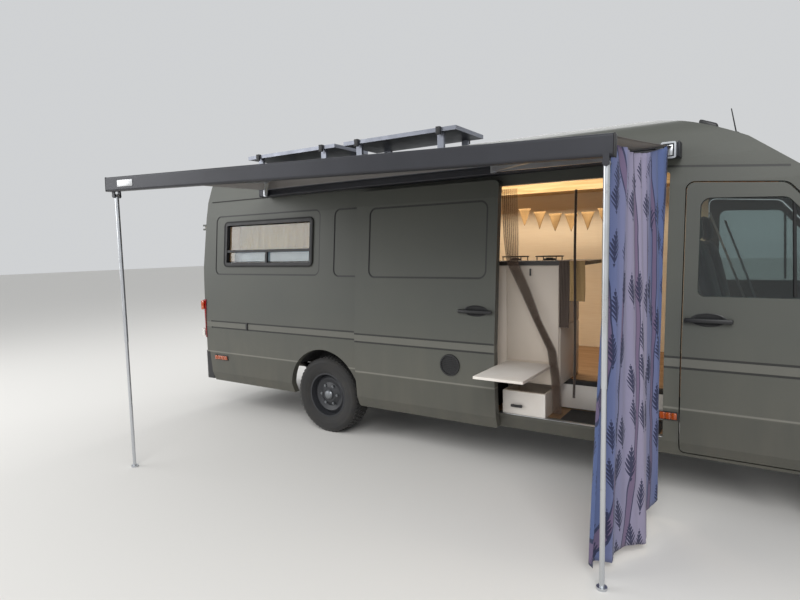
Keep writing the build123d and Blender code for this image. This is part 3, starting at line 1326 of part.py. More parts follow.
def build():
    os.makedirs("parts", exist_ok=True)
    save("chassis_frame", chassis_frame())
    save("floor_pan", floor_pan())
    save("body_side_left", body_side(LEFT))
    save("body_side_right", body_side(RIGHT))
    save("high_roof", high_roof())
    save("cab_frame", cab_frame())
    save("front_wings", front_wings())
    save("windscreen", windscreen())
    save("front_bumper", front_bumper())
    save("rear_bumper", rear_bumper())
    save("grille", grille())
    save("headlamps", headlamps())
    save("rear_lamps", rear_lamps())
    save("dashboard", dashboard())
    save("cab_seats", cab_seats())
    save("engine_block", engine_block())
    save("fuel_tank", fuel_tank())
    save("exhaust", exhaust())
    save("rear_axle", rear_axle())
    save("side_window_frame", side_window_frame())
    save("side_window_glass", side_window_glass())
    save("sliding_door", sliding_door())
    save("awning_box", awning_box())
    save("awning_arms", awning_arms())
    save("awning_rail", awning_rail())
    save("awning_cloth", awning_cloth())
    save("side_curtain", side_curtain())
    save("solar_panels", solar_panels())
    save("kitchen_unit", kitchen_unit())
    save("worktop", worktop())
    save("overhead_shelf", overhead_shelf())
    save("bed_base", bed_base())
    save("mattress", mattress())
    save("interior_linen", interior_linen())
    save("bonnet", bonnet())
    for side, word in ((LEFT, "left"), (RIGHT, "right")):
        save("cab_door_" + word, cab_door(side))
        save("cab_door_glass_" + word, cab_door_glass(side))
        save("mirror_" + word, mirror_body(side))
        save("rear_door_" + word, rear_door(side))
        save("knuckle_" + word, knuckle(side))
    for x, end in ((FRONT_AXLE_X, "front"), (REAR_AXLE_X, "rear")):
        for side, word in ((LEFT, "left"), (RIGHT, "right")):
            save("tyre_" + end + "_" + word, tyre(x, side))
            save("rim_" + end + "_" + word, rim(x, side))
    for row in leg_table():
        save("leg_upper_" + row["name"], leg_upper(row))
        save("leg_lower_" + row["name"], leg_lower(row))
    save("folding_table", folding_table())
    save("step_drawer", step_drawer())


build()
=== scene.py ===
"""Looks of a long high-roof camper van with its side door open and its awning out.

X points forward, Y to the van's left and Z up, in metres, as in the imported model.
"""

from math import atan2, cos, exp, pi, radians, sin, sqrt, tan, tau

import bmesh
import bpy
from mathutils import Matrix, Vector


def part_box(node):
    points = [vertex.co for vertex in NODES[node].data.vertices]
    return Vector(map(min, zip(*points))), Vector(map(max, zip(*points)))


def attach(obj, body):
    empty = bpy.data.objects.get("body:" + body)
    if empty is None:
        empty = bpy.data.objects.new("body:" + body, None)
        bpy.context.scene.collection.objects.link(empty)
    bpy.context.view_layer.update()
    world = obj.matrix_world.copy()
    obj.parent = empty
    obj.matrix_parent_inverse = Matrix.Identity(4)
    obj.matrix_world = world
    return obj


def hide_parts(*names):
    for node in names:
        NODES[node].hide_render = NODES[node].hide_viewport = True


bl_info = {
    "name": "Camper Van",
    "version": (1, 0, 0),
    "blender": (4, 5, 0),
    "location": "3D View > Sidebar > Camper Van",
    "description": "Finishes and soft pieces of a camper van",
    "category": "Object",
}

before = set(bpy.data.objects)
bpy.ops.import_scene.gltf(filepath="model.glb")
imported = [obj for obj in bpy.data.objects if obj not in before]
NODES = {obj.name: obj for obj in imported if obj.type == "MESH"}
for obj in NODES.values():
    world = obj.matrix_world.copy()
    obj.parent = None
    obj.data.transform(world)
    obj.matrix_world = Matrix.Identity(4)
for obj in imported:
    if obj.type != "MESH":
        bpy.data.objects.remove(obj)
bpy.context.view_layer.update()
MM = 0.001

# Camera, solved from the van's own features in an 800 by 600 view
CAMERA_PLACE = (1.3355, -4.7867, 1.6807)
CAMERA_TURN = 33.06
CAMERA_DIP = 5.24
CAMERA_ROLL = -1.26
CAMERA_LENS = 25.19

# Places shared with the frame
RIGHT = -1
LEFT = 1
SIDES = ((LEFT, "left"), (RIGHT, "right"))
HALF_WIDTH = 0.966
# The body's section as (height, how far the skin lies in from the half width)
SECTION = ((0.324, 0.06), (0.42, 0.02), (0.64, 0.0), (0.968, 0.0), (1.448, 0.036), (2.04, 0.09), (2.205, 0.115))
REAR_X = -3.670
SLIDE_OUT = 0.0805
RAIL_REAR = Vector((-2.839, -2.366, 2.210))
RAIL_FRONT = Vector((0.744, -2.054, 2.131))
TREAD_BLOCKS = 54
BUSBAR_PITCH = 0.0417
# Stamped fields of the sides and of the sliding door, as lowest and highest places along X, then along Z
SIDE_FIELDS = ((-3.465, -2.05, 1.455, 2.05), (-1.88, -0.96, 1.448, 2.04))
SLIDER_FIELDS = ((-1.434, -0.371, 1.448, 2.018),)


def along(rows, share):
    """A value read from rows of (share, value), straight between them."""
    for (at_a, value_a), (at_b, value_b) in zip(rows, rows[1:]):
        if share <= at_b:
            return value_a + (value_b - value_a) * (share - at_a) / (at_b - at_a)
    return rows[-1][1]


def skin_y(z):
    """Half width of the body at height z."""
    return HALF_WIDTH - along(SECTION, z)


# Materials
def linear(code):
    """sRGB hex to a linear RGBA tuple."""
    parts = [int(code[i : i + 2], 16) / 255 for i in (1, 3, 5)]
    return tuple(c / 12.92 if c <= 0.04045 else ((c + 0.055) / 1.055) ** 2.4 for c in parts) + (1.0,)


class Finish:
    """A material as it is made: its nodes, its Principled shader and the place that its patterns follow."""

    def __init__(self, name, code=None, coordinate="Object", **plain):
        self.material = bpy.data.materials.new(name)
        self.material.use_nodes = True
        self.tree = self.material.node_tree
        self.shade = self.tree.nodes["Principled BSDF"]
        if code:
            plain["Base_Color"] = linear(code)
        for field, value in plain.items():
            self.shade.inputs[field.replace("_", " ")].default_value = value
        self.where = coordinate and self.node("TexCoord", out=coordinate)

    def node(self, kind, *inputs, out=0, **settings):
        """Add a node, set its fields, set or link its inputs, and return one output.

        Inputs come in order, or as one dict by name or number. A hex code is a colour, a kind in capitals is the
        operation of a Math node, and Mix takes a factor and two colours.
        """
        if kind.isupper():
            kind, settings["operation"] = "Math", kind
        if kind == "Mix":
            settings["data_type"], out, inputs = "RGBA", 2, (dict(zip((0, 6, 7), inputs)),)
        node = self.tree.nodes.new("ShaderNode" + kind)
        for field, value in settings.items():
            setattr(node, field, value)
        given = inputs[0] if inputs and isinstance(inputs[0], dict) else dict(enumerate(inputs))
        for name, value in given.items():
            if isinstance(value, bpy.types.NodeSocket):
                self.tree.links.new(value, node.inputs[name])
            else:
                node.inputs[name].default_value = linear(value) if isinstance(value, str) else value
        return node.outputs[out]

    def spots(self, size_mm, low=0.0, high=1.0, detail=4.0):
        """Noise of a real size, spread between two values."""
        noise = self.node("TexNoise", {"Vector": self.where, "Scale": 1000.0 / size_mm, "Detail": detail})
        return self.node("MapRange", noise, 0.3, 0.7, low, high)

    def grain(self, scale, detail, distortion=0.0):
        """Noise drawn out by its own scale along each axis."""
        spread = self.node("Mapping", {"Vector": self.where, "Scale": scale})
        return self.node("TexNoise", {"Vector": spread, "Scale": 1.0, "Detail": detail, "Distortion": distortion})

    def done(self, colour=None, rough=None, height=None, depth_mm=0.0, strength=1.0):
        """Link what the shader reads, and hand over the material."""
        relief = None
        if height is not None:
            relief = self.node("Bump", {"Height": height, "Distance": depth_mm * MM, "Strength": strength})
        for field, socket in (("Base Color", colour), ("Roughness", rough), ("Normal", relief)):
            if socket is not None:
                self.tree.links.new(socket, self.shade.inputs[field])
        return self.material


def inside_mask(finish, y, z, rear):
    """1 where a body panel faces the living space, told from which way its surface looks."""
    node = finish.node
    facing = node("NewGeometry", out="Normal")
    own = node("VectorTransform", facing, vector_type="NORMAL", convert_from="WORLD", convert_to="OBJECT")
    middle = node("VectorMath", finish.where, (float(rear), 1.0, 0.6), (0.0, 0.0, -0.9), operation="MULTIPLY_ADD")
    inward = node("LESS_THAN", node("VectorMath", own, middle, operation="DOT_PRODUCT", out="Value"), -0.22)
    rise = node("MULTIPLY", node("MAXIMUM", node("SUBTRACT", z, 0.968), 0.0), 0.084)
    within = node("LESS_THAN", node("ADD", node("ABSOLUTE", y), rise), HALF_WIDTH - 0.025)
    return node("MULTIPLY", node("MULTIPLY", inward, node("GREATER_THAN", z, 0.661)), within)


def painted_groove_shade(finish, x, y, z, fields):
    """1 along the outline of each stamped field, along both belt grooves and along the seam of the cab roof, where the
    paint gets painted shade.
    """
    node = finish.node
    least = 1.0

    def distance(part, middle):
        return node("ABSOLUTE", node("SUBTRACT", part, middle))

    for x_low, x_high, z_low, z_high in fields:
        past = [
            node("SUBTRACT", distance(part, (low + high) / 2), (high - low) / 2 - 0.06)
            for part, low, high in ((x, x_low, x_high), (z, z_low, z_high))
        ]
        squares = [node("POWER", node("MAXIMUM", value, 0.0), 2.0) for value in past]
        corner = node("SQRT", node("ADD", *squares))
        inner = node("MINIMUM", node("MAXIMUM", *past), 0.0)
        least = node("MINIMUM", least, distance(node("ADD", corner, inner), 0.058))
    sloped = node("MULTIPLY_ADD", x, 0.085, z)
    # Each line, as (what it follows, height, middle of its stretch along X, half of the stretch)
    for level, height, middle, reach in (
        (z, 0.902, -1.91, 1.61),
        (z, 0.968, -1.91, 1.61),
        (z, 0.902, 1.3475, 0.5475),
        (z, 0.968, 1.3475, 0.5475),
        (sloped, 2.228, 1.06, 0.38),
    ):
        past = node("SUBTRACT", distance(x, middle), reach)
        least = node("MINIMUM", least, node("MAXIMUM", distance(level, height), past))
    line = node("DIVIDE", node("SUBTRACT", 0.0085, least), 0.003, use_clamp=True)
    return node("MULTIPLY", line, node("GREATER_THAN", node("ABSOLUTE", y), 0.6))


def body_paint(name, lining=None, rear=False, grain_code="#c7a678", fields=None):
    # Two-pack matte paint rolled over steel panels: a dull, faintly stippled skin that dust dulls further low down
    props = bpy.context.scene.van_body
    finish = Finish(name, Coat_Weight=0.08, Coat_Roughness=0.45)
    node = finish.node
    x, y, z = node("SeparateXYZ", finish.where).node.outputs
    stipple = finish.spots(9.0, detail=3.0)
    base = node("Mix", finish.spots(700.0, high=0.35), props.paint, "#57584f")
    dust = node("MULTIPLY", node("MapRange", z, 1.15, 0.3, 0.0, 0.55), finish.grain((9.0, 9.0, 1.6), 6.0))
    colour = node("Mix", dust, base, props.dust)
    if fields is not None:
        # The raised belt is rubbed pale, the ridge near the sill gets a painted highlight with painted shade just under
        # it, and painted shade darkens the grooves
        belt = node("LESS_THAN", node("ABSOLUTE", node("SUBTRACT", z, 0.935)), 0.027)
        # Painted highlight along the ridge near the sill
        ridge_highlight = node("SUBTRACT", 0.009, node("ABSOLUTE", node("SUBTRACT", z, 0.644)))
        ridge_highlight = node("DIVIDE", ridge_highlight, 0.006, use_clamp=True)
        pale = node("MAXIMUM", node("MULTIPLY", belt, 0.16), node("MULTIPLY", ridge_highlight, 0.34))
        colour = node("Mix", pale, colour, "#a09d93")
        # Painted shade in a band just under the ridge
        under = node("DIVIDE", node("SUBTRACT", 0.636, z), 0.01, use_clamp=True)
        colour = node("Mix", node("MULTIPLY", under, 0.14), colour, "#1d1e1f")
        # Painted shade along the stamped field outlines, the belt grooves and the cab roof seam
        colour = node("Mix", node("MULTIPLY", painted_groove_shade(finish, x, y, z, fields), 0.8), colour, "#1b1b1c")
    if lining:
        boards = node("Mix", node("MULTIPLY", finish.grain((6.0, 120.0, 120.0), 5.0), 0.35), lining, grain_code)
        colour = node("Mix", inside_mask(finish, y, z, rear), colour, boards)
    return finish.done(colour, node("MULTIPLY_ADD", stipple, 0.06, 0.5), stipple, 0.25, 0.5)


def speckled(name, code, second, tone, grain, rough, relief=None, **plain):
    """Two colours that drift into each other, and a finer speckle that varies the gloss and the relief."""
    finish = Finish(name, **plain)
    fine = finish.spots(*grain)
    colour = finish.node("Mix", finish.spots(*tone), code, second)
    return finish.done(colour, finish.node("MULTIPLY_ADD", fine, *rough), *((fine, *relief) if relief else ()))


def powder_coat(name, code, metallic=0.0):
    # Powder-coated aluminium or steel: slight orange peel
    tone, grain = (400.0, 0.0, 0.25), (3.0, 0.0, 1.0, 1.0)
    return speckled(name, code, "#46474e", tone, grain, (0.08, 0.42), (0.12, 0.4), Metallic=metallic)


def laminate(name, code):
    # Melamine-faced furniture board: almost flat colour with a soft pearl texture
    return speckled(name, code, "#c9bba8", (260.0, 0.0, 0.3), (4.0, 0.0, 1.0, 2.0), (0.1, 0.36), (0.1, 0.3))


def tyre_rubber():
    # Carbon-black rubber with dust in the lower roughness and scuffed tread
    dust = (60.0, 0.0, 0.5, 8.0)
    return speckled("tyre_rubber", "#1d1d1e", "#3b3834", dust, dust, (0.3, 0.68), (0.4, 0.5), Sheen_Weight=0.1)


def window_film():
    # Satin film on acrylic: a cool blue-grey with faint wipe marks
    smear = (160.0, 0.0, 1.0, 3.0)
    return speckled(
        "satin_film", "#5f7290", "#8193ad", smear, smear, (0.15, 0.3), Coat_Weight=0.6, Coat_Roughness=0.08
    )


def hob_glass():
    # Black ceramic glass: deep gloss under finger marks
    marks = (45.0, 0.0, 1.0, 5.0)
    return speckled(
        "ceramic_glass", "#121213", "#1c1c1e", marks, marks, (0.12, 0.1), Coat_Weight=0.8, Coat_Roughness=0.04
    )


def moulded_plastic(name, code, roughness=0.5, grain_mm=1.6):
    # Grained ABS or polypropylene: even colour, fine leather-like grain that breaks the highlight
    finish = Finish(name)
    colour = finish.node("Mix", finish.spots(240.0, high=0.35), code, "#3a3a3b")
    grain = finish.node("TexVoronoi", {"Vector": finish.where, "Scale": 1000.0 / grain_mm})
    return finish.done(colour, finish.spots(60.0, roughness, roughness + 0.12), grain, 0.15, 0.4)


def sooty_steel(name, code, rust=0.35):
    # Chassis black over steel: waxy, dusty, with rust freckles at welds and edges
    finish = Finish(name)
    node = finish.node
    spots = finish.spots(35.0, detail=8.0)
    colour = node("Mix", node("MULTIPLY", node("POWER", spots, 5.0), rust), code, "#5b3a22")
    colour = node("Mix", finish.spots(300.0, high=0.4), colour, "#4a463d")
    return finish.done(colour, node("MULTIPLY_ADD", spots, 0.25, 0.5), spots, 0.4, 0.5)


def anodised(name, code, roughness=0.32, brush_axis=0):
    # Extruded aluminium, anodised: fine die lines run along the extrusion
    finish = Finish(name, code, Metallic=1.0)
    scale = [900.0, 900.0, 900.0]
    scale[brush_axis] = 4.0
    lines = finish.grain(scale, 2.0)
    rough = finish.node("MULTIPLY_ADD", lines, 0.12, roughness - 0.05)
    return finish.done(None, finish.node("ADD", rough, finish.spots(90.0, -0.05, 0.08)), lines, 0.05, 0.25)


def woven_cloth(name, code, second, thread_mm, coordinate="Object", axes="XZ"):
    # Plain weave: crossed threads that break up the light, with slubs and faint fading
    finish = Finish(name, None, coordinate, Sheen_Weight=0.25, Sheen_Roughness=0.5, Roughness=0.85)
    node = finish.node
    threads = {"Vector": finish.where, "Scale": 50.0 / thread_mm, "Distortion": 0.6, "Detail": 1.0}
    waves = [node("TexWave", threads, out=1, bands_direction=axis) for axis in axes]
    weave = node("MULTIPLY", *waves)
    base = node("Mix", finish.spots(350.0, high=0.5), code, second)
    return finish.done(node("Mix", node("MULTIPLY", weave, 0.25), base, second), None, weave, thread_mm * 0.25, 0.5)


def printed_curtain():
    # Thin printed cotton: a ground that drifts from dusty blue to lilac, mauve arcs and tall navy leaf sprigs
    props = bpy.context.scene.van_curtain
    finish = Finish("printed_cotton", None, "UV", Sheen_Weight=0.08, Sheen_Roughness=0.5, Roughness=0.8)
    node, where = finish.node, finish.where
    wobble = node("TexNoise", {"Vector": where, "Scale": 2.2, "Detail": 2.0}, out="Color")
    bent = node("VectorMath", {0: wobble, 3: 0.10}, operation="SCALE")
    moved = node("VectorMath", where, bent, operation="ADD")
    drift = node("TexWave", {"Vector": where, "Scale": 0.24, "Distortion": 1.2, "Detail Scale": 1.5}, out=1)
    ground = node("Mix", drift, props.blue, props.lilac)
    centred = node("Mapping", {"Vector": moved, "Location": (-0.3, -0.85, 0.0), "Scale": (2.3, 0.7, 1.0)})
    rings = {"Vector": centred, "Scale": 0.60, "Distortion": 0.8, "Detail Scale": 0.7}
    arcs = node("TexWave", rings, out=1, wave_type="RINGS", rings_direction="Z")
    band = node("GREATER_THAN", arcs, 0.955)
    edge = node("SUBTRACT", node("GREATER_THAN", arcs, 0.905), band)
    ground = node("Mix", node("MULTIPLY", band, 0.85), ground, props.mauve)
    # Each cell of the sprig grid holds one leaf sprig, drawn from the distances to the cell's own centre.
    grid = node("Mapping", {"Vector": moved, "Scale": (8.6, 4.4, 1.0)})
    voronoi = {"Vector": grid, "Scale": 1.0, "Randomness": 0.55}
    cells = node("TexVoronoi", voronoi, voronoi_dimensions="2D").node.outputs
    x, y, _ = node("SeparateXYZ", node("VectorMath", grid, cells["Position"], operation="SUBTRACT")).node.outputs
    tone = node("SeparateXYZ", cells["Color"])
    lean = node("MULTIPLY", node("SUBTRACT", tone, 0.5), node("MULTIPLY", y, 0.9))
    across = node("ABSOLUTE", node("ADD", x, lean))
    taper = node("SUBTRACT", 1.0, node("DIVIDE", node("ABSOLUTE", y), 0.44), use_clamp=True)
    rising = node("SUBTRACT", node("MULTIPLY", y, 26.0), node("MULTIPLY", across, 16.0))
    leaf = node("MULTIPLY", node("ABSOLUTE", node("SINE", rising)), node("MULTIPLY", taper, 0.44))
    stem = node("LESS_THAN", across, node("MULTIPLY", taper, 0.06))
    sprig = node("MAXIMUM", node("LESS_THAN", across, leaf), stem)
    sprig = node("MULTIPLY", sprig, node("GREATER_THAN", tone, 0.36))
    ink = node("MAXIMUM", node("MULTIPLY", sprig, 0.9), node("MULTIPLY", edge, 0.85))
    weave = {"Vector": where, "Scale": 40.0, "Distortion": 0.5}
    threads = [node("TexWave", weave, out=1, bands_direction=axis) for axis in "XY"]
    return finish.done(node("Mix", ink, ground, props.navy), None, node("MULTIPLY", *threads), 0.3, 0.4)


def gauze():
    # Fine brown net: most of the light passes between the threads, so it is drawn by its alpha
    finish = Finish("gauze", "#6a574a", "UV", Roughness=0.9)
    node = finish.node
    waves = [node("TexWave", {"Vector": finish.where, "Scale": 120.0}, out=1, bands_direction=axis) for axis in "XY"]
    thread = node("MAXIMUM", *(node("GREATER_THAN", wave, 0.55) for wave in waves))
    finish.tree.links.new(node("MULTIPLY_ADD", thread, 0.36, 0.14), finish.shade.inputs["Alpha"])
    return finish.material


def tinted_glass(name, code, roughness=0.02):
    # Toughened glass with a grey-green tint
    finish = Finish(name, code, Transmission_Weight=1.0, IOR=1.5)
    return finish.done(rough=finish.spots(180.0, roughness, roughness + 0.03))


def lamp_lens(name, code, rib_mm=7.0, transmission=0.55):
    # Polycarbonate lens with moulded prisms behind a smooth face
    coat = {"Coat_Weight": 0.6, "Coat_Roughness": 0.05}
    finish = Finish(name, code, Transmission_Weight=transmission, IOR=1.58, Roughness=0.12, **coat)
    ribs = finish.node("TexWave", {"Vector": finish.where, "Scale": 50.0 / rib_mm}, out=1, bands_direction="Z")
    return finish.done(None, None, ribs, 0.8, 0.5)


def board(name, light, dark, gloss=0.0, beneath=None, roughness=0.45):
    # Sawn or laid wood: grain stretched along the board; what looks sideways or down may be painted steel instead
    finish = Finish(name, Coat_Weight=gloss, Coat_Roughness=0.3)
    node = finish.node
    figure = node("MapRange", finish.grain((2.2, 38.0, 38.0), 8.0, 1.2), 0.35, 0.65)
    colour = node("Mix", figure, light, dark)
    if beneath:
        facing = node("SeparateXYZ", node("NewGeometry", out="Normal"), out="Z")
        colour = node("Mix", node("GREATER_THAN", facing, 0.3), beneath, colour)
    return finish.done(colour, node("MULTIPLY_ADD", figure, 0.15, roughness), figure, 0.2, 0.4)


def solar_cells():
    # Monocrystalline cells under glass: near-black blue squares split by silver busbars
    gloss = {"Coat_Weight": 0.6, "Coat_Roughness": 0.06, "Coat_IOR": 1.3, "Roughness": 0.4, "Specular_IOR_Level": 0.2}
    finish = Finish("solar_cells", **gloss)
    cells = {"Vector": finish.where, "Scale": 1.0, "Mortar Size": 0.003, "Brick Width": 0.125, "Row Height": 0.125}
    cells.update({"Color1": "#10152b", "Color2": "#141a33", "Mortar": "#a7adb8"})
    squares = finish.node("TexBrick", cells, offset=0.0, squash=1.0)
    # At a scale of 1 a wave texture repeats every tenth of pi.
    lines = {"Vector": finish.where, "Scale": 3.1416 / 10.0 / BUSBAR_PITCH}
    bars = finish.node("GREATER_THAN", finish.node("TexWave", lines, out=1, bands_direction="Y"), 0.995)
    return finish.done(finish.node("Mix", bars, squares, "#8d94a5"))


def plain_metal(name, code, roughness):
    # Silvered glass or a polished reflector: a bare mirror face
    return Finish(name, code, None, Metallic=1.0, Roughness=roughness).material


def glowing_bulb():
    # Warm filament bulb, lit
    glow = {"Emission_Color": linear("#ffb45c"), "Emission_Strength": 2.5}
    return Finish("warm_bulb", "#ffdda8", None, Roughness=0.2, **glow).material


MATERIALS = {}


def make_finishes():
    body = bpy.context.scene.van_body
    awning = bpy.context.scene.van_awning
    MATERIALS.update(
        {
            "paint": body_paint("matte_paint"),
            "paint_lined": body_paint("matte_paint_lined", body.lining, fields=SIDE_FIELDS),
            "paint_slider": body_paint("matte_paint_sliding_door", body.lining, fields=SLIDER_FIELDS),
            "paint_roof": body_paint("matte_paint_roof", body.ceiling, fields=()),
            "paint_rear": body_paint("matte_paint_rear_door", body.lining, rear=True),
            "paint_cab": body_paint("matte_paint_cab", "#3b3b3d", grain_code="#4c4c4e", fields=()),
            "black_plastic": moulded_plastic("black_plastic", "#232325"),
            "dash": moulded_plastic("dash_plastic", "#2a2a2d", 0.6, 2.2),
            "trim": moulded_plastic("trim_plastic", "#1a1a1c", 0.35, 1.2),
            "rubber": moulded_plastic("sealing_rubber", "#141415", 0.7, 3.0),
            "step_rubber": moulded_plastic("step_rubber", "#2a2826", 0.75, 6.0),
            "underbody": sooty_steel("underbody_steel", "#202022"),
            "engine": sooty_steel("engine_iron", "#4b4b4b", 0.2),
            "exhaust": sooty_steel("exhaust_steel", "#6a635c", 0.9),
            "cast_iron": sooty_steel("cast_iron", "#211f1f", 0.1),
            "wheel": powder_coat("wheel_steel", "#2a2b2e"),
            "awning_metal": powder_coat("anthracite_coat", awning.anthracite, 0.3),
            "tyre": tyre_rubber(),
            "glass": tinted_glass("tinted_glass", "#a9b6b5"),
            "window_glass": tinted_glass("clear_acrylic", "#dfe6e4"),
            "headlamp": tinted_glass("clear_lens", "#f4f7fa"),
            "film": window_film(),
            "hob_glass": hob_glass(),
            "red_lens": lamp_lens("red_lens", "#c4121c"),
            "orange_lens": lamp_lens("orange_lens", "#e0641c"),
            "frosted_lens": lamp_lens("frosted_lens", "#e9e8e2", 5.0, 0.15),
            "bulb": glowing_bulb(),
            "chrome": plain_metal("reflector", "#dfe2e6", 0.12),
            "mirror": plain_metal("silvered_glass", "#e6e9ec", 0.02),
            "aluminium": anodised("bright_aluminium", "#c9ccd0", 0.3, 2),
            "arm_metal": anodised("arm_aluminium", "#b9bcc0", 0.35),
            "panel_frame": anodised("panel_frame", "#83868f", 0.42),
            "plate_metal": anodised("bare_plate", "#b8b9ba", 0.4),
            "nut_steel": anodised("zinc_steel", "#8d9094", 0.35, 1),
            "cells": solar_cells(),
            "laminate": laminate("pale_laminate", body.furniture),
            "white_laminate": laminate("white_laminate", "#e9e4dd"),
            "worktop": board("worktop_board", "#2b2521", "#1f1b19", 0.3, roughness=0.35),
            "plywood": board("birch_plywood", "#d8bd8d", "#bf9d68"),
            "floor": board("floor_covering", "#967450", "#7a5b3b", 0.1, "#242426", 0.5),
            "awning_cloth": woven_cloth("awning_acrylic", awning.cloth, "#4a433e", 4.0, "UV", "XY"),
            "window_curtain": woven_cloth("cream_linen", "#dcb063", "#c2934a", 5.0, "UV", "XY"),
            "tan_cloth": woven_cloth("tan_linen", "#a98a5c", "#8f7248", 4.0, "UV", "XY"),
            "dark_cloth": woven_cloth("dark_linen", "#4d4037", "#3b302a", 4.0, "UV", "XY"),
            "net_tape": woven_cloth("net_tape", "#40342b", "#54453a", 3.0, "UV", "XY"),
            "seat": woven_cloth("seat_cloth", "#2b2c33", "#3b3c45", 2.4, axes="YZ"),
            "mattress": woven_cloth("mattress_ticking", "#cdbfa6", "#b7a78c", 3.0, axes="XY"),
            "pillow": woven_cloth("pillow_cotton", "#e4d3b4", "#d3bd95", 2.6, axes="XY"),
            "belt": woven_cloth("belt_webbing", "#8f9193", "#727476", 2.5),
            "curtain": printed_curtain(),
            "gauze": gauze(),
        }
    )


CAD_FINISHES = {
    "paint_lined": "body_side_left body_side_right",
    "paint_slider": "sliding_door",
    "paint_roof": "high_roof",
    "paint_rear": "rear_door_left rear_door_right",
    "paint_cab": "cab_frame cab_door_left cab_door_right",
    "paint": "front_wings bonnet",
    "black_plastic": "front_bumper rear_bumper grille mirror_left mirror_right fuel_tank side_window_frame",
    "dash": "dashboard",
    "underbody": "chassis_frame rear_axle knuckle_left knuckle_right",
    "engine": "engine_block",
    "exhaust": "exhaust",
    "floor": "floor_pan",
    "glass": "windscreen cab_door_glass_left cab_door_glass_right",
    "window_glass": "side_window_glass",
    "headlamp": "headlamps",
    "red_lens": "rear_lamps",
    "awning_metal": "awning_box awning_rail",
    "arm_metal": "awning_arms",
    "aluminium": "leg_upper_left leg_upper_right leg_lower_left leg_lower_right",
    "panel_frame": "solar_panels",
    "laminate": "kitchen_unit folding_table step_drawer",
    "worktop": "worktop",
    "plywood": "overhead_shelf bed_base",
    "wheel": "rim_front_left rim_front_right rim_rear_left rim_rear_right",
    "tyre": "tyre_front_left tyre_front_right tyre_rear_left tyre_rear_right",
}


# Making pieces
def keep(name, form, material, body="root", smooth=30, slot=None, replaced=()):
    """Turn a bmesh into a piece that rides on a body. smooth is the sharpest angle still shaded smooth."""
    mesh = bpy.data.meshes.new(name)
    form.to_mesh(mesh)
    form.free()
    mesh.materials.append(MATERIALS[material])
    mesh.shade_smooth()
    mesh.set_sharp_from_angle(angle=radians(smooth))
    piece = bpy.data.objects.new(name, mesh)
    bpy.context.scene.collection.objects.link(piece)
    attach(piece, body)
    if replaced:
        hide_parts(*replaced)
    return piece


def keep_sheet(name, form, material, height, held, rests_on, thick_mm, smooth=80, slot="linen_cloth", **more):
    """Keep a cloth as a sheet, thick_mm thick when that is given. Its flat size, from more or from its area and height,
    is worked out but not kept.
    """
    flat = more.pop("flat", None)
    piece = keep(name, form, material, smooth=smooth, slot=slot, **more)
    area = sum(face.area for face in piece.data.polygons)
    if thick_mm:
        made = piece.modifiers.new("thickness", "SOLIDIFY")
        made.thickness = thick_mm * MM
        made.offset = 0.0
    if held == "stretched":
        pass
    else:
        flat or (area / height, height)


def keep_pad(name, form, material, fill, slot="linen_cloth", rounded=True, **more):
    """Keep cushions as one padded piece."""
    piece = keep(name, form, material, smooth=80, slot=slot, **more)
    if rounded:
        made = piece.modifiers.new("rounding", "SUBSURF")
        made.levels = made.render_levels = 1


def keep_blocks(name, material, blocks, body="root", smooth=30):
    """Keep a piece made of blocks, each given as add_block takes it."""
    form = bmesh.new()
    for block in blocks:
        add_block(form, *block)
    keep(name, form, material, body, smooth)


def add_block(form, corner, far, radius=0.0, segments=2):
    """A block between two opposite corners, its edges rounded."""
    verts = bmesh.ops.create_cube(form, size=1.0)["verts"]
    low, high = Vector(map(min, corner, far)), Vector(map(max, corner, far))
    bmesh.ops.scale(form, vec=high - low, verts=verts)
    bmesh.ops.translate(form, vec=(low + high) / 2, verts=verts)
    if radius:
        edges = list({edge for vert in verts for edge in vert.link_edges})
        rounding = {"offset": radius, "offset_type": "OFFSET", "segments": segments, "profile": 0.5}
        verts = bmesh.ops.bevel(form, geom=edges, affect="EDGES", material=-1, **rounding)["verts"]
    return verts


def add_bar(form, start, end, width, thickness, radius=0.0):
    """A straight bar between two points, its thickness upwards where it lies level."""
    start, end = Vector(start), Vector(end)
    verts = add_block(form, (-width / 2, -thickness / 2, 0.0), (width / 2, thickness / 2, (end - start).length), radius)
    turn = (end - start).to_track_quat("Z", "Y").to_matrix().to_4x4()
    bmesh.ops.transform(form, matrix=Matrix.Translation(start) @ turn, verts=verts)


def turned_to(centre, axis):
    """The matrix that lays +Z along an axis through a point."""
    turn = Vector((0, 0, 1)).rotation_difference(Vector(axis)).to_matrix().to_4x4()
    return Matrix.Translation(centre) @ turn


def add_disc(form, centre, axis, radius, depth, segments=32, radius_far=None):
    """A closed cylinder or cone about a point."""
    shape = {"radius1": radius, "radius2": radius if radius_far is None else radius_far, "depth": depth}
    bmesh.ops.create_cone(form, cap_ends=True, segments=segments, matrix=turned_to(centre, axis), **shape)


def join_part(form, part, matrix):
    """Move a finished part of a shape into the whole and return its vertices."""
    bmesh.ops.transform(part, matrix=matrix, verts=part.verts[:])
    mesh = bpy.data.meshes.new("part")
    part.to_mesh(mesh)
    part.free()
    before = len(form.verts)
    form.from_mesh(mesh)
    bpy.data.meshes.remove(mesh)
    form.verts.ensure_lookup_table()
    return form.verts[before:]


def add_turned(form, profile, centre, axis, steps=64):
    """A closed profile of (radius, place along the axis), spun round the axis."""
    part = bmesh.new()
    verts = [part.verts.new((radius, 0.0, place)) for radius, place in profile]
    edges = [part.edges.new(pair) for pair in zip(verts, verts[1:] + verts[:1])]
    spun = {"geom": verts + edges, "cent": (0, 0, 0), "axis": (0, 0, 1), "angle": tau}
    bmesh.ops.spin(part, steps=steps, use_merge=True, **spun)
    bmesh.ops.remove_doubles(part, verts=part.verts[:], dist=1e-6)
    recalc(part)
    return join_part(form, part, turned_to(centre, axis))


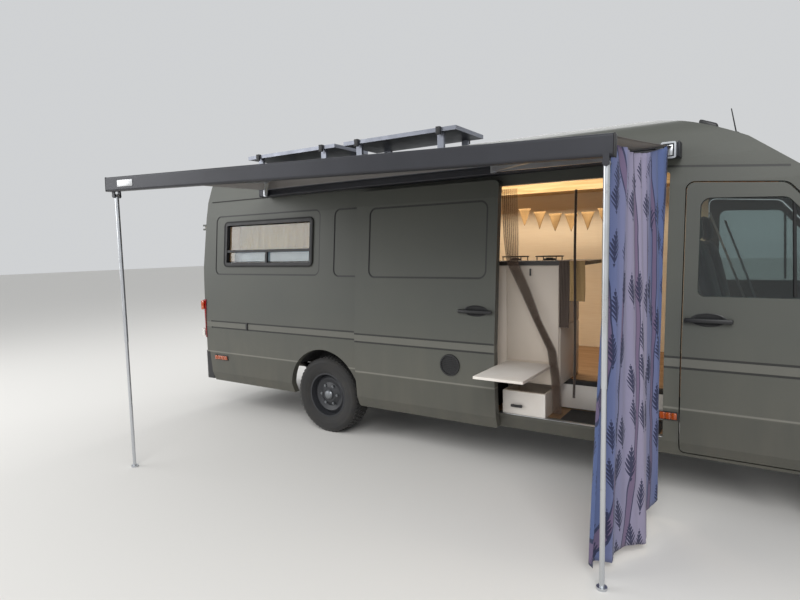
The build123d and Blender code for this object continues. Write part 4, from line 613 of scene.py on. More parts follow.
def add_ring_plate(form, x_mid, z_mid, wide, tall, band, thickness, radius):
    """A flat ring with round corners in the XZ plane, thick towards +Y. A band of 0 leaves it whole."""
    part = bmesh.new()
    verts = bmesh.ops.create_grid(part, x_segments=1, y_segments=1, size=0.5)["verts"]
    bmesh.ops.scale(part, vec=(wide, tall, 1.0), verts=verts)
    rounding = {"offset": radius, "offset_type": "OFFSET", "segments": 6, "profile": 0.5}
    bmesh.ops.bevel(part, geom=verts, affect="VERTICES", material=-1, **rounding)
    if band:
        edge = {"thickness": band, "use_boundary": True, "use_even_offset": True}
        ring = bmesh.ops.inset_region(part, faces=part.faces[:], **edge)["faces"]
        bmesh.ops.delete(part, geom=[face for face in part.faces if face not in ring], context="FACES")
    bmesh.ops.solidify(part, geom=part.faces[:], thickness=thickness)
    recalc(part)
    verts = join_part(form, part, Matrix.Translation((x_mid, 0, z_mid)) @ Matrix.Rotation(radians(90), 4, "X"))
    shift = min(vert.co.y for vert in verts)
    for vert in verts:
        vert.co.y -= shift
    return verts


def recalc(form):
    """Point the faces of closed shapes outwards, judged by the face normals as they were last worked out."""
    bmesh.ops.recalc_face_normals(form, faces=form.faces[:])


def to_side(form, verts, side, out=0.0):
    """Lay a shape on a body side: its Y becomes the distance out of the skin at its height."""
    for vert in verts:
        vert.co.y = side * (skin_y(vert.co.z) + out + vert.co.y)
    if side == RIGHT:
        bmesh.ops.reverse_faces(form, faces=list({face for vert in verts for face in vert.link_faces}))


def add_sheet(form, size, columns, rows, where):
    """A grid whose points go to where(u, v), with UVs in metres from its flat size."""
    made = bmesh.ops.create_grid(form, x_segments=columns, y_segments=rows, size=0.5)
    layer = form.loops.layers.uv.verify()
    for vert in made["verts"]:
        u, v = vert.co.x + 0.5, vert.co.y + 0.5
        for loop in vert.link_loops:
            loop[layer].uv = (u * size[0], v * size[1])
        vert.co = where(u, v)
    return form


def add_cushion(form, size, matrix, channels=(), cuts=15, flat_below=False):
    """A crowned closed pad: full in the middle, thin at its seam and drawn in between its corners."""
    part = bmesh.new()
    bmesh.ops.create_cube(part, size=2.0)
    bmesh.ops.subdivide_edges(part, edges=part.edges[:], cuts=cuts, use_grid_fill=True)
    for vert in part.verts:
        x, y, z = vert.co
        full = sqrt(max(0.0, (1 - x**4) * (1 - y**4)))
        rise = 0.5 + 0.5 * full
        for place_y in channels:
            rise -= 0.12 * exp(-(((y - place_y) / 0.045) ** 2)) * full
        if flat_below and z < 0:
            rise = 0.94
        side = 1.0 - 0.06 * z * z
        draw_x = (1.0 - 0.035 * (1 - y * y) * x**6) * (1.0 - 0.05 * abs(y) ** 10)
        draw_y = (1.0 - 0.035 * (1 - x * x) * y**6) * (1.0 - 0.05 * abs(x) ** 10)
        vert.co = (x * side * draw_x, y * side * draw_y, z * rise)
    bmesh.ops.smooth_vert(part, verts=part.verts[:], factor=0.5, use_axis_x=True, use_axis_y=True, use_axis_z=True)
    bmesh.ops.scale(part, vec=Vector(size) / 2, verts=part.verts[:])
    return join_part(form, part, matrix)


# Properties
def text_prop(name, description, default):
    return bpy.props.StringProperty(name=name, description=description, default=default)


def length_prop(name, description, default):
    return bpy.props.FloatProperty(name=name, description=description, default=default, subtype="DISTANCE")


class BodyProps(bpy.types.PropertyGroup):
    paint: text_prop("Paint", "Body colour as sRGB hex", "#4b4d48")
    dust: text_prop("Dust", "Dust low on the panels", "#7a7365")
    lining: text_prop("Lining", "Inside wall boards", "#efe3cb")
    ceiling: text_prop("Ceiling", "Pine boards under the roof", "#c98f4e")
    furniture: text_prop("Furniture", "Kitchen board colour", "#d9cdbf")


class AwningProps(bpy.types.PropertyGroup):
    anthracite: text_prop("Housing colour", "Awning housing and rail", "#2b2c31")
    cloth: text_prop("Cloth colour", "Awning fabric", "#5b534d")
    sag: length_prop("Sag", "How far the cloth hangs at its middle", 0.005)


class CurtainProps(bpy.types.PropertyGroup):
    blue: text_prop("Blue", "Blue part of the ground", "#4b5c88")
    lilac: text_prop("Lilac", "Pale part of the ground", "#8b859c")
    mauve: text_prop("Mauve", "Arcs of the print", "#65536f")
    navy: text_prop("Navy", "Sprigs of the print", "#161b3c")
    fold: length_prop("Fold depth", "Depth of the hanging folds", 0.03)


class VanPieces:
    bl_options = {"REGISTER", "UNDO"}


class DressFrame(VanPieces, bpy.types.Operator):
    """Give the frame's own parts their finishes"""

    bl_idname = "van.dress_frame"
    bl_label = "Frame finishes"

    def execute(self, context):
        make_finishes()
        for name, nodes in CAD_FINISHES.items():
            for node in nodes.split():
                mesh = NODES[node].data
                mesh.materials.clear()
                mesh.materials.append(MATERIALS[name])
        return {"FINISHED"}


class HangAwning(VanPieces, bpy.types.Operator):
    """Stretch the cloth from the housing to the front rail, with end caps and the bare plate"""

    bl_idname = "van.hang_awning"
    bl_label = "Awning"

    def execute(self, context):
        sag = context.scene.van_awning.sag
        low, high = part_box("awning_cloth")
        points = [vert.co.copy() for vert in NODES["awning_cloth"].data.vertices]
        near_left, near_right, far_left, far_right = (
            min(points, key=lambda place: (place.x - x) ** 2 + (place.y - y) ** 2)
            for x, y in ((low.x, low.y), (high.x, low.y), (low.x, high.y), (high.x, high.y))
        )

        def hang(u, v):
            dip = sin(pi * v) * (0.6 + 0.4 * cos(6.0 * pi * u))
            return near_left.lerp(near_right, u).lerp(far_left.lerp(far_right, u), v) - Vector((0, 0, sag * dip))

        size = ((near_right - near_left).length, (far_left - near_left).length)
        form = add_sheet(bmesh.new(), size, 90, 24, hang)
        cloth = {"flat": size, "smooth": 60, "slot": "awning_fabric", "replaced": ["awning_cloth"]}
        keep_sheet("awning_sheet", form, "awning_cloth", None, "stretched", "awning_rail", 1.5, **cloth)
        self.cap_rail()
        self.cap_housing()
        return {"FINISHED"}

    def cap_rail(self):
        # Moulded caps close the rail, and a bare aluminium plate sits near its rear end.
        run = (RAIL_FRONT - RAIL_REAR).normalized()
        form = bmesh.new()
        for end, way in ((RAIL_REAR, -1), (RAIL_FRONT, 1)):
            add_bar(form, end + run * way * 0.001, end + run * way * 0.009, 0.070, 0.107, 0.004)
        keep("rail_caps", form, "black_plastic")
        form = bmesh.new()
        middle = RAIL_REAR + run * 0.22 + run.cross(Vector((0, 0, 1))).normalized() * 0.0352
        add_bar(form, middle - run * 0.085, middle + run * 0.085, 0.003, 0.048, 0.001)
        keep("rail_plate", form, "plate_metal")

    def cap_housing(self):
        low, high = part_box("awning_box")
        ends = ((low.x, low.x - 0.010), (high.x, high.x + 0.010))
        caps = [((x, low.y - 0.001, low.z - 0.002), (x_far, -0.868, high.z + 0.002), 0.004) for x, x_far in ends]
        keep_blocks("housing_caps", "awning_metal", caps)
        form = bmesh.new()
        verts = add_ring_plate(form, high.x - 0.052, (low.z + high.z) / 2 - 0.004, 0.086, 0.100, 0.011, 0.006, 0.012)
        for vert in verts:
            vert.co.y = low.y - vert.co.y
        bmesh.ops.reverse_faces(form, faces=form.faces[:])
        add_block(form, (high.x - 0.075, low.y - 0.005, low.z + 0.01), (high.x - 0.028, low.y, high.z - 0.02), 0.002)
        keep("housing_bracket", form, "aluminium")
        form = bmesh.new()
        for x in (high.x - 0.1, low.x + 0.1):
            for radius, depth, segments in ((0.022, 0.060, 24), (0.010, 0.068, 16)):
                add_disc(form, (x, low.y - 0.02, low.z + 0.027), (0, 0, 1), radius, depth, segments)
        keep("arm_pivots", form, "aluminium", smooth=40)


class HangCurtain(VanPieces, bpy.types.Operator):
    """Hang the printed curtain from the awning's front end"""

    bl_idname = "van.hang_curtain"
    bl_label = "Side curtain"

    def execute(self, context):
        fold = context.scene.van_curtain.fold
        outer_top = Vector((0.694, -1.955, 2.184))
        inner_top = Vector((0.838, -1.020, 2.252))
        out = (inner_top - outer_top).cross(Vector((0, 0, 1))).normalized()
        across = (inner_top - outer_top).normalized()
        # The hem swings forward in a wide bow, low outside and higher at the body.
        hem_x = ((0.0, 0.630), (0.25, 0.720), (0.5, 0.825), (0.75, 0.830), (1.0, 0.775))
        hem_y = ((0.0, -2.015), (0.25, -1.850), (0.5, -1.600), (0.75, -1.320), (1.0, -1.055))
        hem_z = ((0.0, 0.045), (0.5, 0.050), (0.75, 0.130), (1.0, 0.290))

        def hang(u, v):
            # Broad folds gather at the top and open downwards, each leaning its own way.
            turn = tau * (4.2 * u + 0.35 * sin(4.4 * u + 0.6) + 0.10 * sin(2.6 * v + 1.0))
            deep = fold * (0.55 + 0.45 * (1 - v)) * (0.75 + 0.25 * sin(9.0 * u + 1.0))
            small = 0.22 * fold * sin(tau * 13.0 * u + 3.0 * v) * (0.4 + 0.6 * v)
            droop = 0.055 * sin(pi * min(1.0, u * 1.1)) * v**6
            hem = Vector((along(hem_x, u), along(hem_y, u), along(hem_z, u)))
            place = hem.lerp(outer_top.lerp(inner_top, u), v)
            place += out * (deep * sin(turn) + small) + across * (0.55 * deep * cos(turn))
            return place - Vector((0, 0, droop - 0.010 * sin(tau * 3.0 * u + 1.2) * (1 - v) ** 4))

        height = 2.17
        form = add_sheet(bmesh.new(), (1.5, height), 260, 70, hang)
        cloth = {"slot": "curtain_fabric", "replaced": ["side_curtain"]}
        keep_sheet("printed_side_curtain", form, "curtain", height, "hung", "awning_sheet", 1.2, **cloth)
        return {"FINISHED"}


class FitWheels(VanPieces, bpy.types.Operator):
    """Treaded tyres, wheel nuts and centre caps"""

    bl_idname = "van.fit_wheels"
    bl_label = "Wheels"

    def execute(self, context):
        for end in ("front", "rear"):
            for side, word in SIDES:
                place = end + "_" + word
                low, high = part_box("tyre_" + place)
                self.tyre(place, (low + high) / 2)
                self.nuts(place, (low + high) / 2, side)
        return {"FINISHED"}

    def tyre(self, name, centre):
        # Half of the section as (radius, distance from the middle), with ribs on the sidewall
        half = [(0.2060, 0.0920), (0.2160, 0.0985), (0.2320, 0.1010), (0.2350, 0.1035), (0.2400, 0.1035)]
        half += [(0.2430, 0.1050), (0.2750, 0.1122), (0.2980, 0.1115), (0.3010, 0.1125), (0.3070, 0.1115)]
        half += [(0.3220, 0.1060), (0.3330, 0.0980), (0.3395, 0.0860)]
        form = bmesh.new()
        add_turned(form, half + [(radius, -out) for radius, out in reversed(half)], centre, (0, 1, 0), 96)
        pitch = tau / TREAD_BLOCKS
        # Rows of tread blocks as (place across, width, shift round in pitches, skew in degrees)
        for place, width, shift, skew in (
            (-0.076, 0.031, 0.0, 8),
            (-0.038, 0.032, 0.5, -14),
            (0.0, 0.030, 0.0, 14),
            (0.038, 0.032, 0.5, -14),
            (0.076, 0.031, 0.0, 8),
        ):
            part = bmesh.new()
            top = 0.3475 - 0.9 * max(0.0, abs(place) - 0.06) * 0.2
            add_block(part, (-0.0145, -width / 2, top - 0.012), (0.0145, width / 2, top), 0.002, 1)
            turn = Matrix.Translation((0, place, 0)) @ Matrix.Rotation(radians(skew), 4, "Z")
            bmesh.ops.transform(part, matrix=Matrix.Rotation(shift * pitch, 4, "Y") @ turn, verts=part.verts[:])
            spun = {"geom": part.verts[:] + part.edges[:] + part.faces[:], "cent": (0, 0, 0), "axis": (0, 1, 0)}
            bmesh.ops.spin(part, angle=tau - pitch, steps=TREAD_BLOCKS - 1, use_duplicate=True, **spun)
            join_part(form, part, Matrix.Translation(centre))
        keep("treaded_tyre_" + name, form, "tyre", "wheel_" + name, 35, "tyre_rubber", ["tyre_" + name])

    def nuts(self, name, centre, side):
        form = bmesh.new()
        for step in range(6):
            turn = step * tau / 6
            place = centre + Vector((0.090 * cos(turn), side * 0.061, 0.090 * sin(turn)))
            add_disc(form, place, (0, side, 0), 0.0135, 0.020, 6)
            add_disc(form, place + Vector((0, side * 0.011, 0)), (0, side, 0), 0.009, 0.006, 16, 0.006)
        cap = [(0.0, 0.066), (0.044, 0.066), (0.043, 0.078), (0.034, 0.088), (0.020, 0.092), (0.0, 0.093)]
        add_turned(form, cap, centre, (0, side, 0), 32)
        keep("nuts_" + name, form, "nut_steel", "wheel_" + name)


class FitWindow(VanPieces, bpy.types.Operator):
    """The side window's seal, its lower film, the pleated curtain and the pillow against it"""

    bl_idname = "van.fit_window"
    bl_label = "Side window"

    def execute(self, context):
        low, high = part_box("side_window_frame")
        middle = ((low.x + high.x) / 2, (low.z + high.z) / 2)
        wide, tall = high.x - low.x, high.z - low.z
        form = bmesh.new()
        for grow, band, radius, out in ((0.016, 0.014, 0.050, 0.0005), (-0.070, 0.010, 0.018, -0.032)):
            verts = add_ring_plate(form, *middle, wide + grow, tall + grow, band, 0.006, radius)
            to_side(form, verts, RIGHT, out)
        keep("window_seals", form, "rubber", smooth=40)
        self.curtain(low, high)
        # The lower panes are backed with a pale blue-grey film.
        form = bmesh.new()
        verts = add_ring_plate(form, -2.734, low.z + 0.090, 1.120, 0.112, 0.0, 0.0015, 0.004)
        to_side(form, verts, RIGHT, -0.102)
        keep("window_film", form, "film", smooth=40)
        form = bmesh.new()
        place = Matrix.Translation((-2.44, -0.782, 1.520)) @ Matrix.Rotation(radians(84), 4, "X")
        add_cushion(form, (0.44, 0.34, 0.070), place)
        keep_pad("window_pillow", form, "pillow", 0.6)
        return {"FINISHED"}

    def curtain(self, low, high):
        x_low, x_high, z_low, z_high = low.x + 0.01, high.x - 0.01, 1.545, 2.0

        def hang(u, v):
            z = z_low + v * (z_high - z_low)
            wave = sin(tau * (13 * u + 0.5 * sin(6.0 * u)) + 0.5 * sin(3 * v))
            y = -skin_y(z) + 0.178 + 0.011 * (0.9 + 0.1 * sin(5 * u + 1)) * wave * (1.1 - 0.4 * v)
            x = x_low + u * (x_high - x_low) + 0.006 * cos(tau * 13 * u) + 0.02 * sin(7 * u) * (1 - v)
            return Vector((x, y, z + 0.004 * sin(14 * u)))

        form = add_sheet(bmesh.new(), (1.5, 0.455), 240, 24, hang)
        rail = "body_side_right"
        height = z_high - z_low
        keep_sheet(
            "window_curtain", form, "window_curtain", height, "gathered", rail, 1.0, replaced=["interior_linen"]
        )
        form = bmesh.new()
        y, z = -skin_y(z_high) + 0.178, z_high + 0.006
        add_bar(form, (x_low - 0.03, y, z), (x_high + 0.03, y, z), 0.010, 0.010, 0.003)
        for x in (x_low - 0.02, x_high + 0.02):
            add_bar(form, (x, y, z), (x, y - 0.119, z), 0.014, 0.014, 0.003)
        keep("window_curtain_rail", form, "aluminium", smooth=40)


class FitBody(VanPieces, bpy.types.Operator):
    """Handles, vent, side markers, seals, belt ends, roof fin, rod aerial, cowl panel, wipers and mirror glass"""

    bl_idname = "van.fit_body"
    bl_label = "Body fittings"

    def execute(self, context):
        self.handle("cab_handle_right", RIGHT, 0.934, 1.197, 0.0005, "cab_door_right")
        self.handle("cab_handle_left", LEFT, 0.934, 1.197, 0.0005, "cab_door_left")
        self.handle("sliding_door_handle", RIGHT, -0.580, -0.306, SLIDE_OUT, "root")
        self.vent()
        self.markers()
        self.strips()
        self.roof_pieces()
        self.screen_pieces()
        self.mirrors()
        self.rear_handle()
        return {"FINISHED"}

    def handle(self, name, side, x_low, x_high, out, body):
        # A pull bar on two feet over an oval finger dish
        z = 1.205
        form = bmesh.new()
        middle = (x_low + x_high) / 2
        dish = [(0.0, 0.0), (0.062, 0.0), (0.066, 0.004), (0.060, 0.006), (0.052, 0.003), (0.0, 0.0025)]
        verts = add_turned(form, dish, (0, 0, 0), (0, 1, 0), 40)
        for vert in verts:
            vert.co = (middle + vert.co.x * 1.5, vert.co.y, z + 0.004 + vert.co.z * 0.62)
        to_side(form, verts, side, out)
        to_side(form, add_block(form, (x_low, 0.016, z - 0.014), (x_high, 0.034, z + 0.014), 0.008, 3), side, out)
        for x in (x_low + 0.018, x_high - 0.030):
            foot = add_block(form, (x - 0.014, 0.0, z - 0.012), (x + 0.014, 0.020, z + 0.012), 0.004)
            to_side(form, foot, side, out)
        recalc(form)
        keep(name, form, "trim", body, smooth=35)

    def vent(self):
        # A round floor vent with slats in a raised ring
        x, z, radius = -0.657, 0.785, 0.085
        y = -(skin_y(z) + SLIDE_OUT)
        form = bmesh.new()
        ring = [(radius - 0.016, 0.0), (radius, 0.0), (radius - 0.002, 0.008), (radius - 0.013, 0.008)]
        add_turned(form, ring, (x, y, z), (0, -1, 0), 48)
        add_disc(form, (x, y - 0.0007, z), (0, -1, 0), radius - 0.014, 0.001, 48)
        for step in range(-4, 5):
            height = step * 0.0145
            reach = sqrt((radius - 0.014) ** 2 - height**2)
            add_bar(form, (x - reach, y - 0.004, z + height), (x + reach, y - 0.004, z + height), 0.006, 0.004)
        for turn in range(6):
            place = (x + 0.077 * cos(turn * tau / 6), y - 0.008, z + 0.077 * sin(turn * tau / 6))
            add_disc(form, place, (0, -1, 0), 0.0035, 0.003, 12)
        keep("floor_vent", form, "trim", smooth=35)

    def markers(self):
        # Side lamps as (name, x_low, x_high, z_low, z_high, lens count)
        for name, x_low, x_high, z_low, z_high, count in (
            ("front_markers", 0.806, 0.908, 0.568, 0.612, 3),
            ("rear_markers", -3.490, -3.300, 0.566, 0.608, 4),
        ):
            holder, lens = bmesh.new(), bmesh.new()
            step = (x_high - x_low) / count
            for side, _ in SIDES:
                low, high = (x_low - 0.006, 0.0, z_low - 0.006), (x_high + 0.006, 0.006, z_high + 0.006)
                to_side(holder, add_block(holder, low, high, 0.004), side)
                for x in (x_low + number * step for number in range(count)):
                    cell = add_block(lens, (x + 0.001, 0.004, z_low), (x + step - 0.001, 0.015, z_high), 0.005, 3)
                    to_side(lens, cell, side)
            for piece, form, material in ((name + "_base", holder, "trim"), (name, lens, "orange_lens")):
                recalc(form)
                keep(piece, form, material, smooth=35)

    def strips(self):
        # The roof seam's rubber, and the ends of the moulding on the belt line
        form = bmesh.new()
        for side, _ in SIDES:
            y = side * (skin_y(2.205) + 0.0035)
            add_bar(form, (REAR_X + 0.12, y, 2.205), (0.845, y, 2.205), 0.009, 0.007, 0.002)
        keep("roof_seam_rubber", form, "rubber", smooth=35)
        form = bmesh.new()
        for x in (-2.985, -1.600):
            to_side(form, add_block(form, (x - 0.012, 0.0, 0.900), (x + 0.012, 0.010, 0.970), 0.004), RIGHT)
        recalc(form)
        keep("belt_ends", form, "trim", smooth=35)

    def roof_z(self, x, y):
        return NODES["high_roof"].ray_cast(Vector((x, y, 4.0)), Vector((0, 0, -1)))[1].z

    def roof_pieces(self):
        x, y = 1.010, -0.600
        base = self.roof_z(x, y)
        form = bmesh.new()
        block = add_block(form, (x - 0.055, y - 0.026, base - 0.008), (x + 0.055, y + 0.026, base + 0.048), 0.016, 4)
        slope = (self.roof_z(x - 0.05, y) - self.roof_z(x + 0.05, y)) / 0.1
        for vert in block:
            vert.co.z += (x - vert.co.x) * slope
        keep("roof_fin", form, "trim", smooth=35)
        form = bmesh.new()
        foot = Vector((1.171, -0.670, self.roof_z(1.171, -0.670) - 0.002))
        way = Vector((1.137, -0.670, 2.500)) - foot
        rod = [(0.0, 0.0), (0.0042, 0.0), (0.0030, way.length), (0.0, way.length + 0.002)]
        add_turned(form, [(0.0, 0.0), (0.021, 0.0), (0.020, 0.010), (0.010, 0.022), (0.0, 0.024)], foot, way, 24)
        add_turned(form, rod, foot, way, 12)
        keep("rod_aerial", form, "rubber", smooth=40)

    def screen_pieces(self):
        # A louvred panel closes the gap between the bonnet and the windscreen, under the wipers.
        low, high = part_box("bonnet")
        x, z = low.x, high.z
        blocks = [((x - 0.040, -0.64, z - 0.034), (x + 0.050, 0.64, z - 0.020), 0.005)]
        for y in (-0.575 + step * 0.05 for step in range(24)):
            blocks.append(((x - 0.030, y - 0.015, z - 0.022), (x + 0.030, y - 0.006, z - 0.016), 0.001, 1))
        keep_blocks("cowl_panel", "trim", blocks)
        low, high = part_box("windscreen")
        slope = atan2(high.z - low.z, high.x - low.x)
        form = bmesh.new()
        for y_pivot, y_end in ((0.42, -0.28), (-0.16, -0.70)):
            pivot = Vector((high.x + 0.028, y_pivot, low.z - 0.012))
            end = Vector((high.x + 0.016 - 0.075 / tan(slope), y_end, low.z + 0.095))
            elbow = pivot.lerp(end, 0.45)
            add_disc(form, pivot, (0.6, 0, 0.8), 0.019, 0.030, 20)
            add_bar(form, pivot, elbow, 0.016, 0.010, 0.003)
            add_bar(form, elbow, end, 0.010, 0.007, 0.002)
        keep("wiper_arms", form, "trim", smooth=35)

    def mirrors(self):
        for side, word in SIDES:
            low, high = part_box("mirror_" + word)
            panes = ((high.z - 0.250, high.z - 0.020), (high.z - 0.329, high.z - 0.257))
            blocks = [((low.x - 0.004, side * 1.061, a), (low.x + 0.0005, side * 1.199, b), 0.0015) for a, b in panes]
            keep_blocks("mirror_glass_" + word, "mirror", blocks, "cab_door_" + word)

    def rear_handle(self):
        x = REAR_X - 0.001
        form = bmesh.new()
        add_block(form, (x - 0.010, -0.190, 1.060), (x + 0.001, -0.040, 1.150), 0.004, 3)
        add_block(form, (x - 0.034, -0.170, 1.115), (x - 0.018, -0.060, 1.138), 0.006, 3)
        for y in (-0.160, -0.070):
            add_block(form, (x - 0.030, y - 0.009, 1.118), (x - 0.004, y + 0.009, 1.135), 0.003)
        add_disc(form, (x - 0.012, -0.115, 1.080), (-1, 0, 0), 0.012, 0.008, 24)
        keep("rear_door_handle", form, "trim", "rear_door_right", smooth=35)


class FitLamps(VanPieces, bpy.types.Operator):
    """Reflectors behind the headlamp lenses and bands on the rear lamps"""

    bl_idname = "van.fit_lamps"
    bl_label = "Lamps"

    def execute(self, context):
        bowls, orange = bmesh.new(), bmesh.new()
        for side, _ in SIDES:
            for y, z, radius in ((0.665, 0.800, 0.062), (0.790, 0.835, 0.056)):
                bowl = [(0.0, -0.060), (radius * 0.55, -0.046), (radius * 0.86, -0.020), (radius, 0.012)]
                bowl += [(radius + 0.004, 0.012), (radius * 0.86 + 0.004, -0.024), (radius * 0.55 + 0.003, -0.050)]
                x = 2.735 - 0.35 * max(0.0, y - 0.70)
                add_turned(bowls, bowl + [(0.0, -0.064)], (x, side * y, z), (1, 0, 0), 40)
                add_disc(bowls, (x - 0.030, side * y, z), (1, 0, 0), 0.010, 0.040, 16)
            add_block(orange, (2.655, side * 0.838, 0.775), (2.688, side * 0.872, 0.930), 0.006)
        keep("lamp_reflectors", bowls, "chrome", smooth=40)
        keep("front_indicators", orange, "orange_lens", smooth=40)
        low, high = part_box("rear_lamps")
        for name, material, z_low, z_high in (
            ("rear_indicators", "orange_lens", 1.085, 1.180),
            ("reversing_lenses", "frosted_lens", 0.800, 0.880),
        ):
            form = bmesh.new()
            for side, _ in SIDES:
                y_low, y_high = side * (high.y - 0.001), side * (high.y + 0.0018)
                add_block(form, (low.x + 0.012, y_low, z_low), (high.x - 0.020, y_high, z_high), 0.0008)
                add_block(form, (low.x - 0.0018, side * 0.884, z_low), (low.x + 0.001, side * 0.960, z_high), 0.0008)
            keep(name, form, material, smooth=40)
        return {"FINISHED"}


class FitRoof(VanPieces, bpy.types.Operator):
    """Solar cells and the clamps that hold the panels"""

    bl_idname = "van.fit_roof"
    bl_label = "Solar panels"

    def execute(self, context):
        low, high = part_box("solar_panels")
        cells, clamps = bmesh.new(), bmesh.new()
        length = 1.180
        z = high.z
        for x in (low.x, high.x - length):
            add_block(cells, (x + 0.024, low.y + 0.024, z - 0.001), (x + length - 0.024, high.y - 0.024, z + 0.0012))
            for middle in (x + 0.16, x + length - 0.16):
                a, b = middle - 0.020, middle + 0.020
                for y, way in ((low.y, -1), (high.y, 1)):
                    add_block(clamps, (a, y - way * 0.012, z + 0.0015), (b, y + way * 0.022, z + 0.006), 0.002)
                    add_block(clamps, (a, y + way * 0.001, z - 0.060), (b, y + way * 0.022, z + 0.004), 0.002)
        keep("solar_cells", cells, "cells")
        keep("panel_clamps", clamps, "black_plastic")
        return {"FINISHED"}


class FitKitchen(VanPieces, bpy.types.Operator):
    """Cupboard fronts, drawer front, hob, towels, net, step edge and the warm ceiling lamp"""

    bl_idname = "van.fit_kitchen"
    bl_label = "Kitchen"

    def execute(self, context):
        self.fronts()
        self.drawer()
        self.hob()
        self.towel("tan_towel", 0.192, 0.298, 1.286, "tan_cloth")
        self.towel("dark_towel", 0.118, 0.188, 1.095, "dark_cloth")
        self.net()
        self.bunting()
        self.entrance()
        return {"FINISHED"}

    def fronts(self):
        # Edge-banded fronts stand off the unit by a seal's thickness, with dark gaps between them.
        low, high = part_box("kitchen_unit")
        face = -0.816
        doors = ((low.x + 0.003, -0.285, 0.664, 1.532), (-0.279, high.x - 0.002, 0.830, 1.532))
        doors += ((-0.279, high.x - 0.002, 0.664, 0.790),)
        blocks = [((a, face - 0.0085, c), (b, face - 0.0005, d), 0.0015) for a, b, c, d in doors]
        for a, b in ((0.664, 1.090), (1.096, 1.532)):
            blocks.append(((high.x + 0.0005, face + 0.004, a), (high.x + 0.0085, high.y - 0.004, b), 0.0015))
        keep_blocks("cupboard_fronts", "laminate", blocks)
        form = bmesh.new()
        y, x = face - 0.021, high.x + 0.022
        add_bar(form, (-0.095, y, 1.462), (-0.095, y, 1.514), 0.010, 0.008, 0.003)
        for z in (1.468, 1.508):
            add_bar(form, (-0.095, face - 0.008, z), (-0.095, face - 0.022, z), 0.007, 0.007, 0.002)
        add_bar(form, (x, -0.45, 1.440), (x, -0.57, 1.440), 0.010, 0.008, 0.003)
        for y in (-0.46, -0.56):
            add_bar(form, (high.x + 0.008, y, 1.440), (x, y, 1.440), 0.007, 0.007, 0.002)
        keep("cupboard_handles", form, "trim", smooth=35)

    def drawer(self):
        low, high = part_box("step_drawer")
        front = ((low.x - 0.002, low.y - 0.0065, low.z + 0.004), (high.x + 0.002, low.y - 0.0005, high.z), 0.005, 3)
        keep_blocks("drawer_front", "white_laminate", [front], "step_drawer")
        form = bmesh.new()
        y = low.y - 0.026
        add_bar(form, (-0.200, y, 0.512), (-0.112, y, 0.512), 0.012, 0.020, 0.005)
        for x in (-0.188, -0.124):
            add_bar(form, (x, low.y - 0.006, 0.512), (x, y, 0.512), 0.012, 0.014, 0.003)
        keep("drawer_handle", form, "trim", "step_drawer", smooth=35)
        low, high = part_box("folding_table")
        edge = ((low.x, low.y - 0.0015, low.z), (high.x, low.y - 0.0001, high.z), 0.0005)
        top = ((low.x + 0.002, low.y + 0.002, high.z), (high.x - 0.002, high.y - 0.016, high.z + 0.0008), 0.0004)
        keep_blocks("table_top_sheet", "white_laminate", [edge, top], "folding_table")

    def hob(self):
        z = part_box("worktop")[1].z
        keep_blocks("hob_plate", "hob_glass", [((-0.405, -0.800, z), (0.105, -0.470, z + 0.006), 0.005, 3)])
        iron = bmesh.new()
        for x, y in ((-0.285, -0.640), (-0.015, -0.640)):
            for radius, height in ((0.047, 0.012), (0.030, 0.018)):
                add_disc(iron, (x, y, z + 0.006 + height / 2), (0, 0, 1), radius, height, 32, radius * 0.9)
            ring = [(0.096, 0.0), (0.104, 0.0), (0.104, 0.007), (0.096, 0.007)]
            add_turned(iron, ring, (x, y, z + 0.030), (0, 0, 1), 40)
            for step in range(4):
                turn = tau / 4 * step + pi / 4
                near, far = (
                    Vector((x + reach * cos(turn), y + reach * sin(turn), z + 0.034)) for reach in (0.035, 0.102)
                )
                add_bar(iron, near, far, 0.006, 0.007)
                add_bar(iron, far, far - Vector((0, 0, 0.028)), 0.006, 0.006)
        keep("hob_rings", iron, "cast_iron", smooth=40)

    def towel(self, name, x_low, x_high, z_low, material):
        y, top = -0.834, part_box("worktop")[1].z

        def hang(u, v):
            fold = 0.004 * sin(tau * 2.3 * u + 0.8) * (1 - v) + 0.003 * sin(9 * u + 5 * v)
            x = x_low + u * (x_high - x_low) + 0.005 * sin(4 * v) * (1 - v)
            if v < 0.86:
                return Vector((x, y - abs(fold), z_low + v / 0.86 * (top - z_low)))
            bend = (v - 0.86) / 0.14
            return Vector((x, y + 0.085 * bend, top + 0.004 * sin(pi * min(1.0, bend * 2.0)) + 0.0025))

        length = (top - z_low) + 0.085
        form = add_sheet(bmesh.new(), (x_high - x_low, length), 22, 50, hang)
        keep_sheet(name, form, material, length, "hung", "worktop", 1.6, 70)

    def net(self):
        # A mosquito net hangs gathered at the door's rear side and is drawn across the cupboard, with a taped edge.
        middle = ((0, 0.123), (0.15, 0.111), (0.28, 0.082), (0.41, -0.025), (0.545, -0.119))
        middle += ((0.67, -0.215), (1, -0.252))
        half = ((0, 0.033), (0.28, 0.029), (0.41, 0.026), (0.545, 0.038), (0.67, 0.043), (0.78, 0.058), (1, 0.062))
        y_rows = ((0, -0.888), (0.67, -0.880), (0.8, -0.872), (1, -0.842))
        z_low, z_high = 0.475, 2.100
        height = z_high - z_low

        def hang(u, v):
            x = along(middle, v) + (2 * u - 1) * along(half, v) + 0.004 * cos(tau * 8 * u)
            wave = sin(tau * 8 * u + 1.5 * sin(3 * v + u))
            return Vector((x, along(y_rows, v) + 0.011 * wave, z_low + v * height))

        def edge(u, v):
            wave = 0.004 * sin(tau * (2 * u + 1.2 * v))
            x = 0.236 + (u - 0.5) * 0.017 + 0.003 * sin(6 * v)
            return Vector((x, -0.868 + wave + 0.022 * v, 0.600 + v * (z_high - 0.640)))

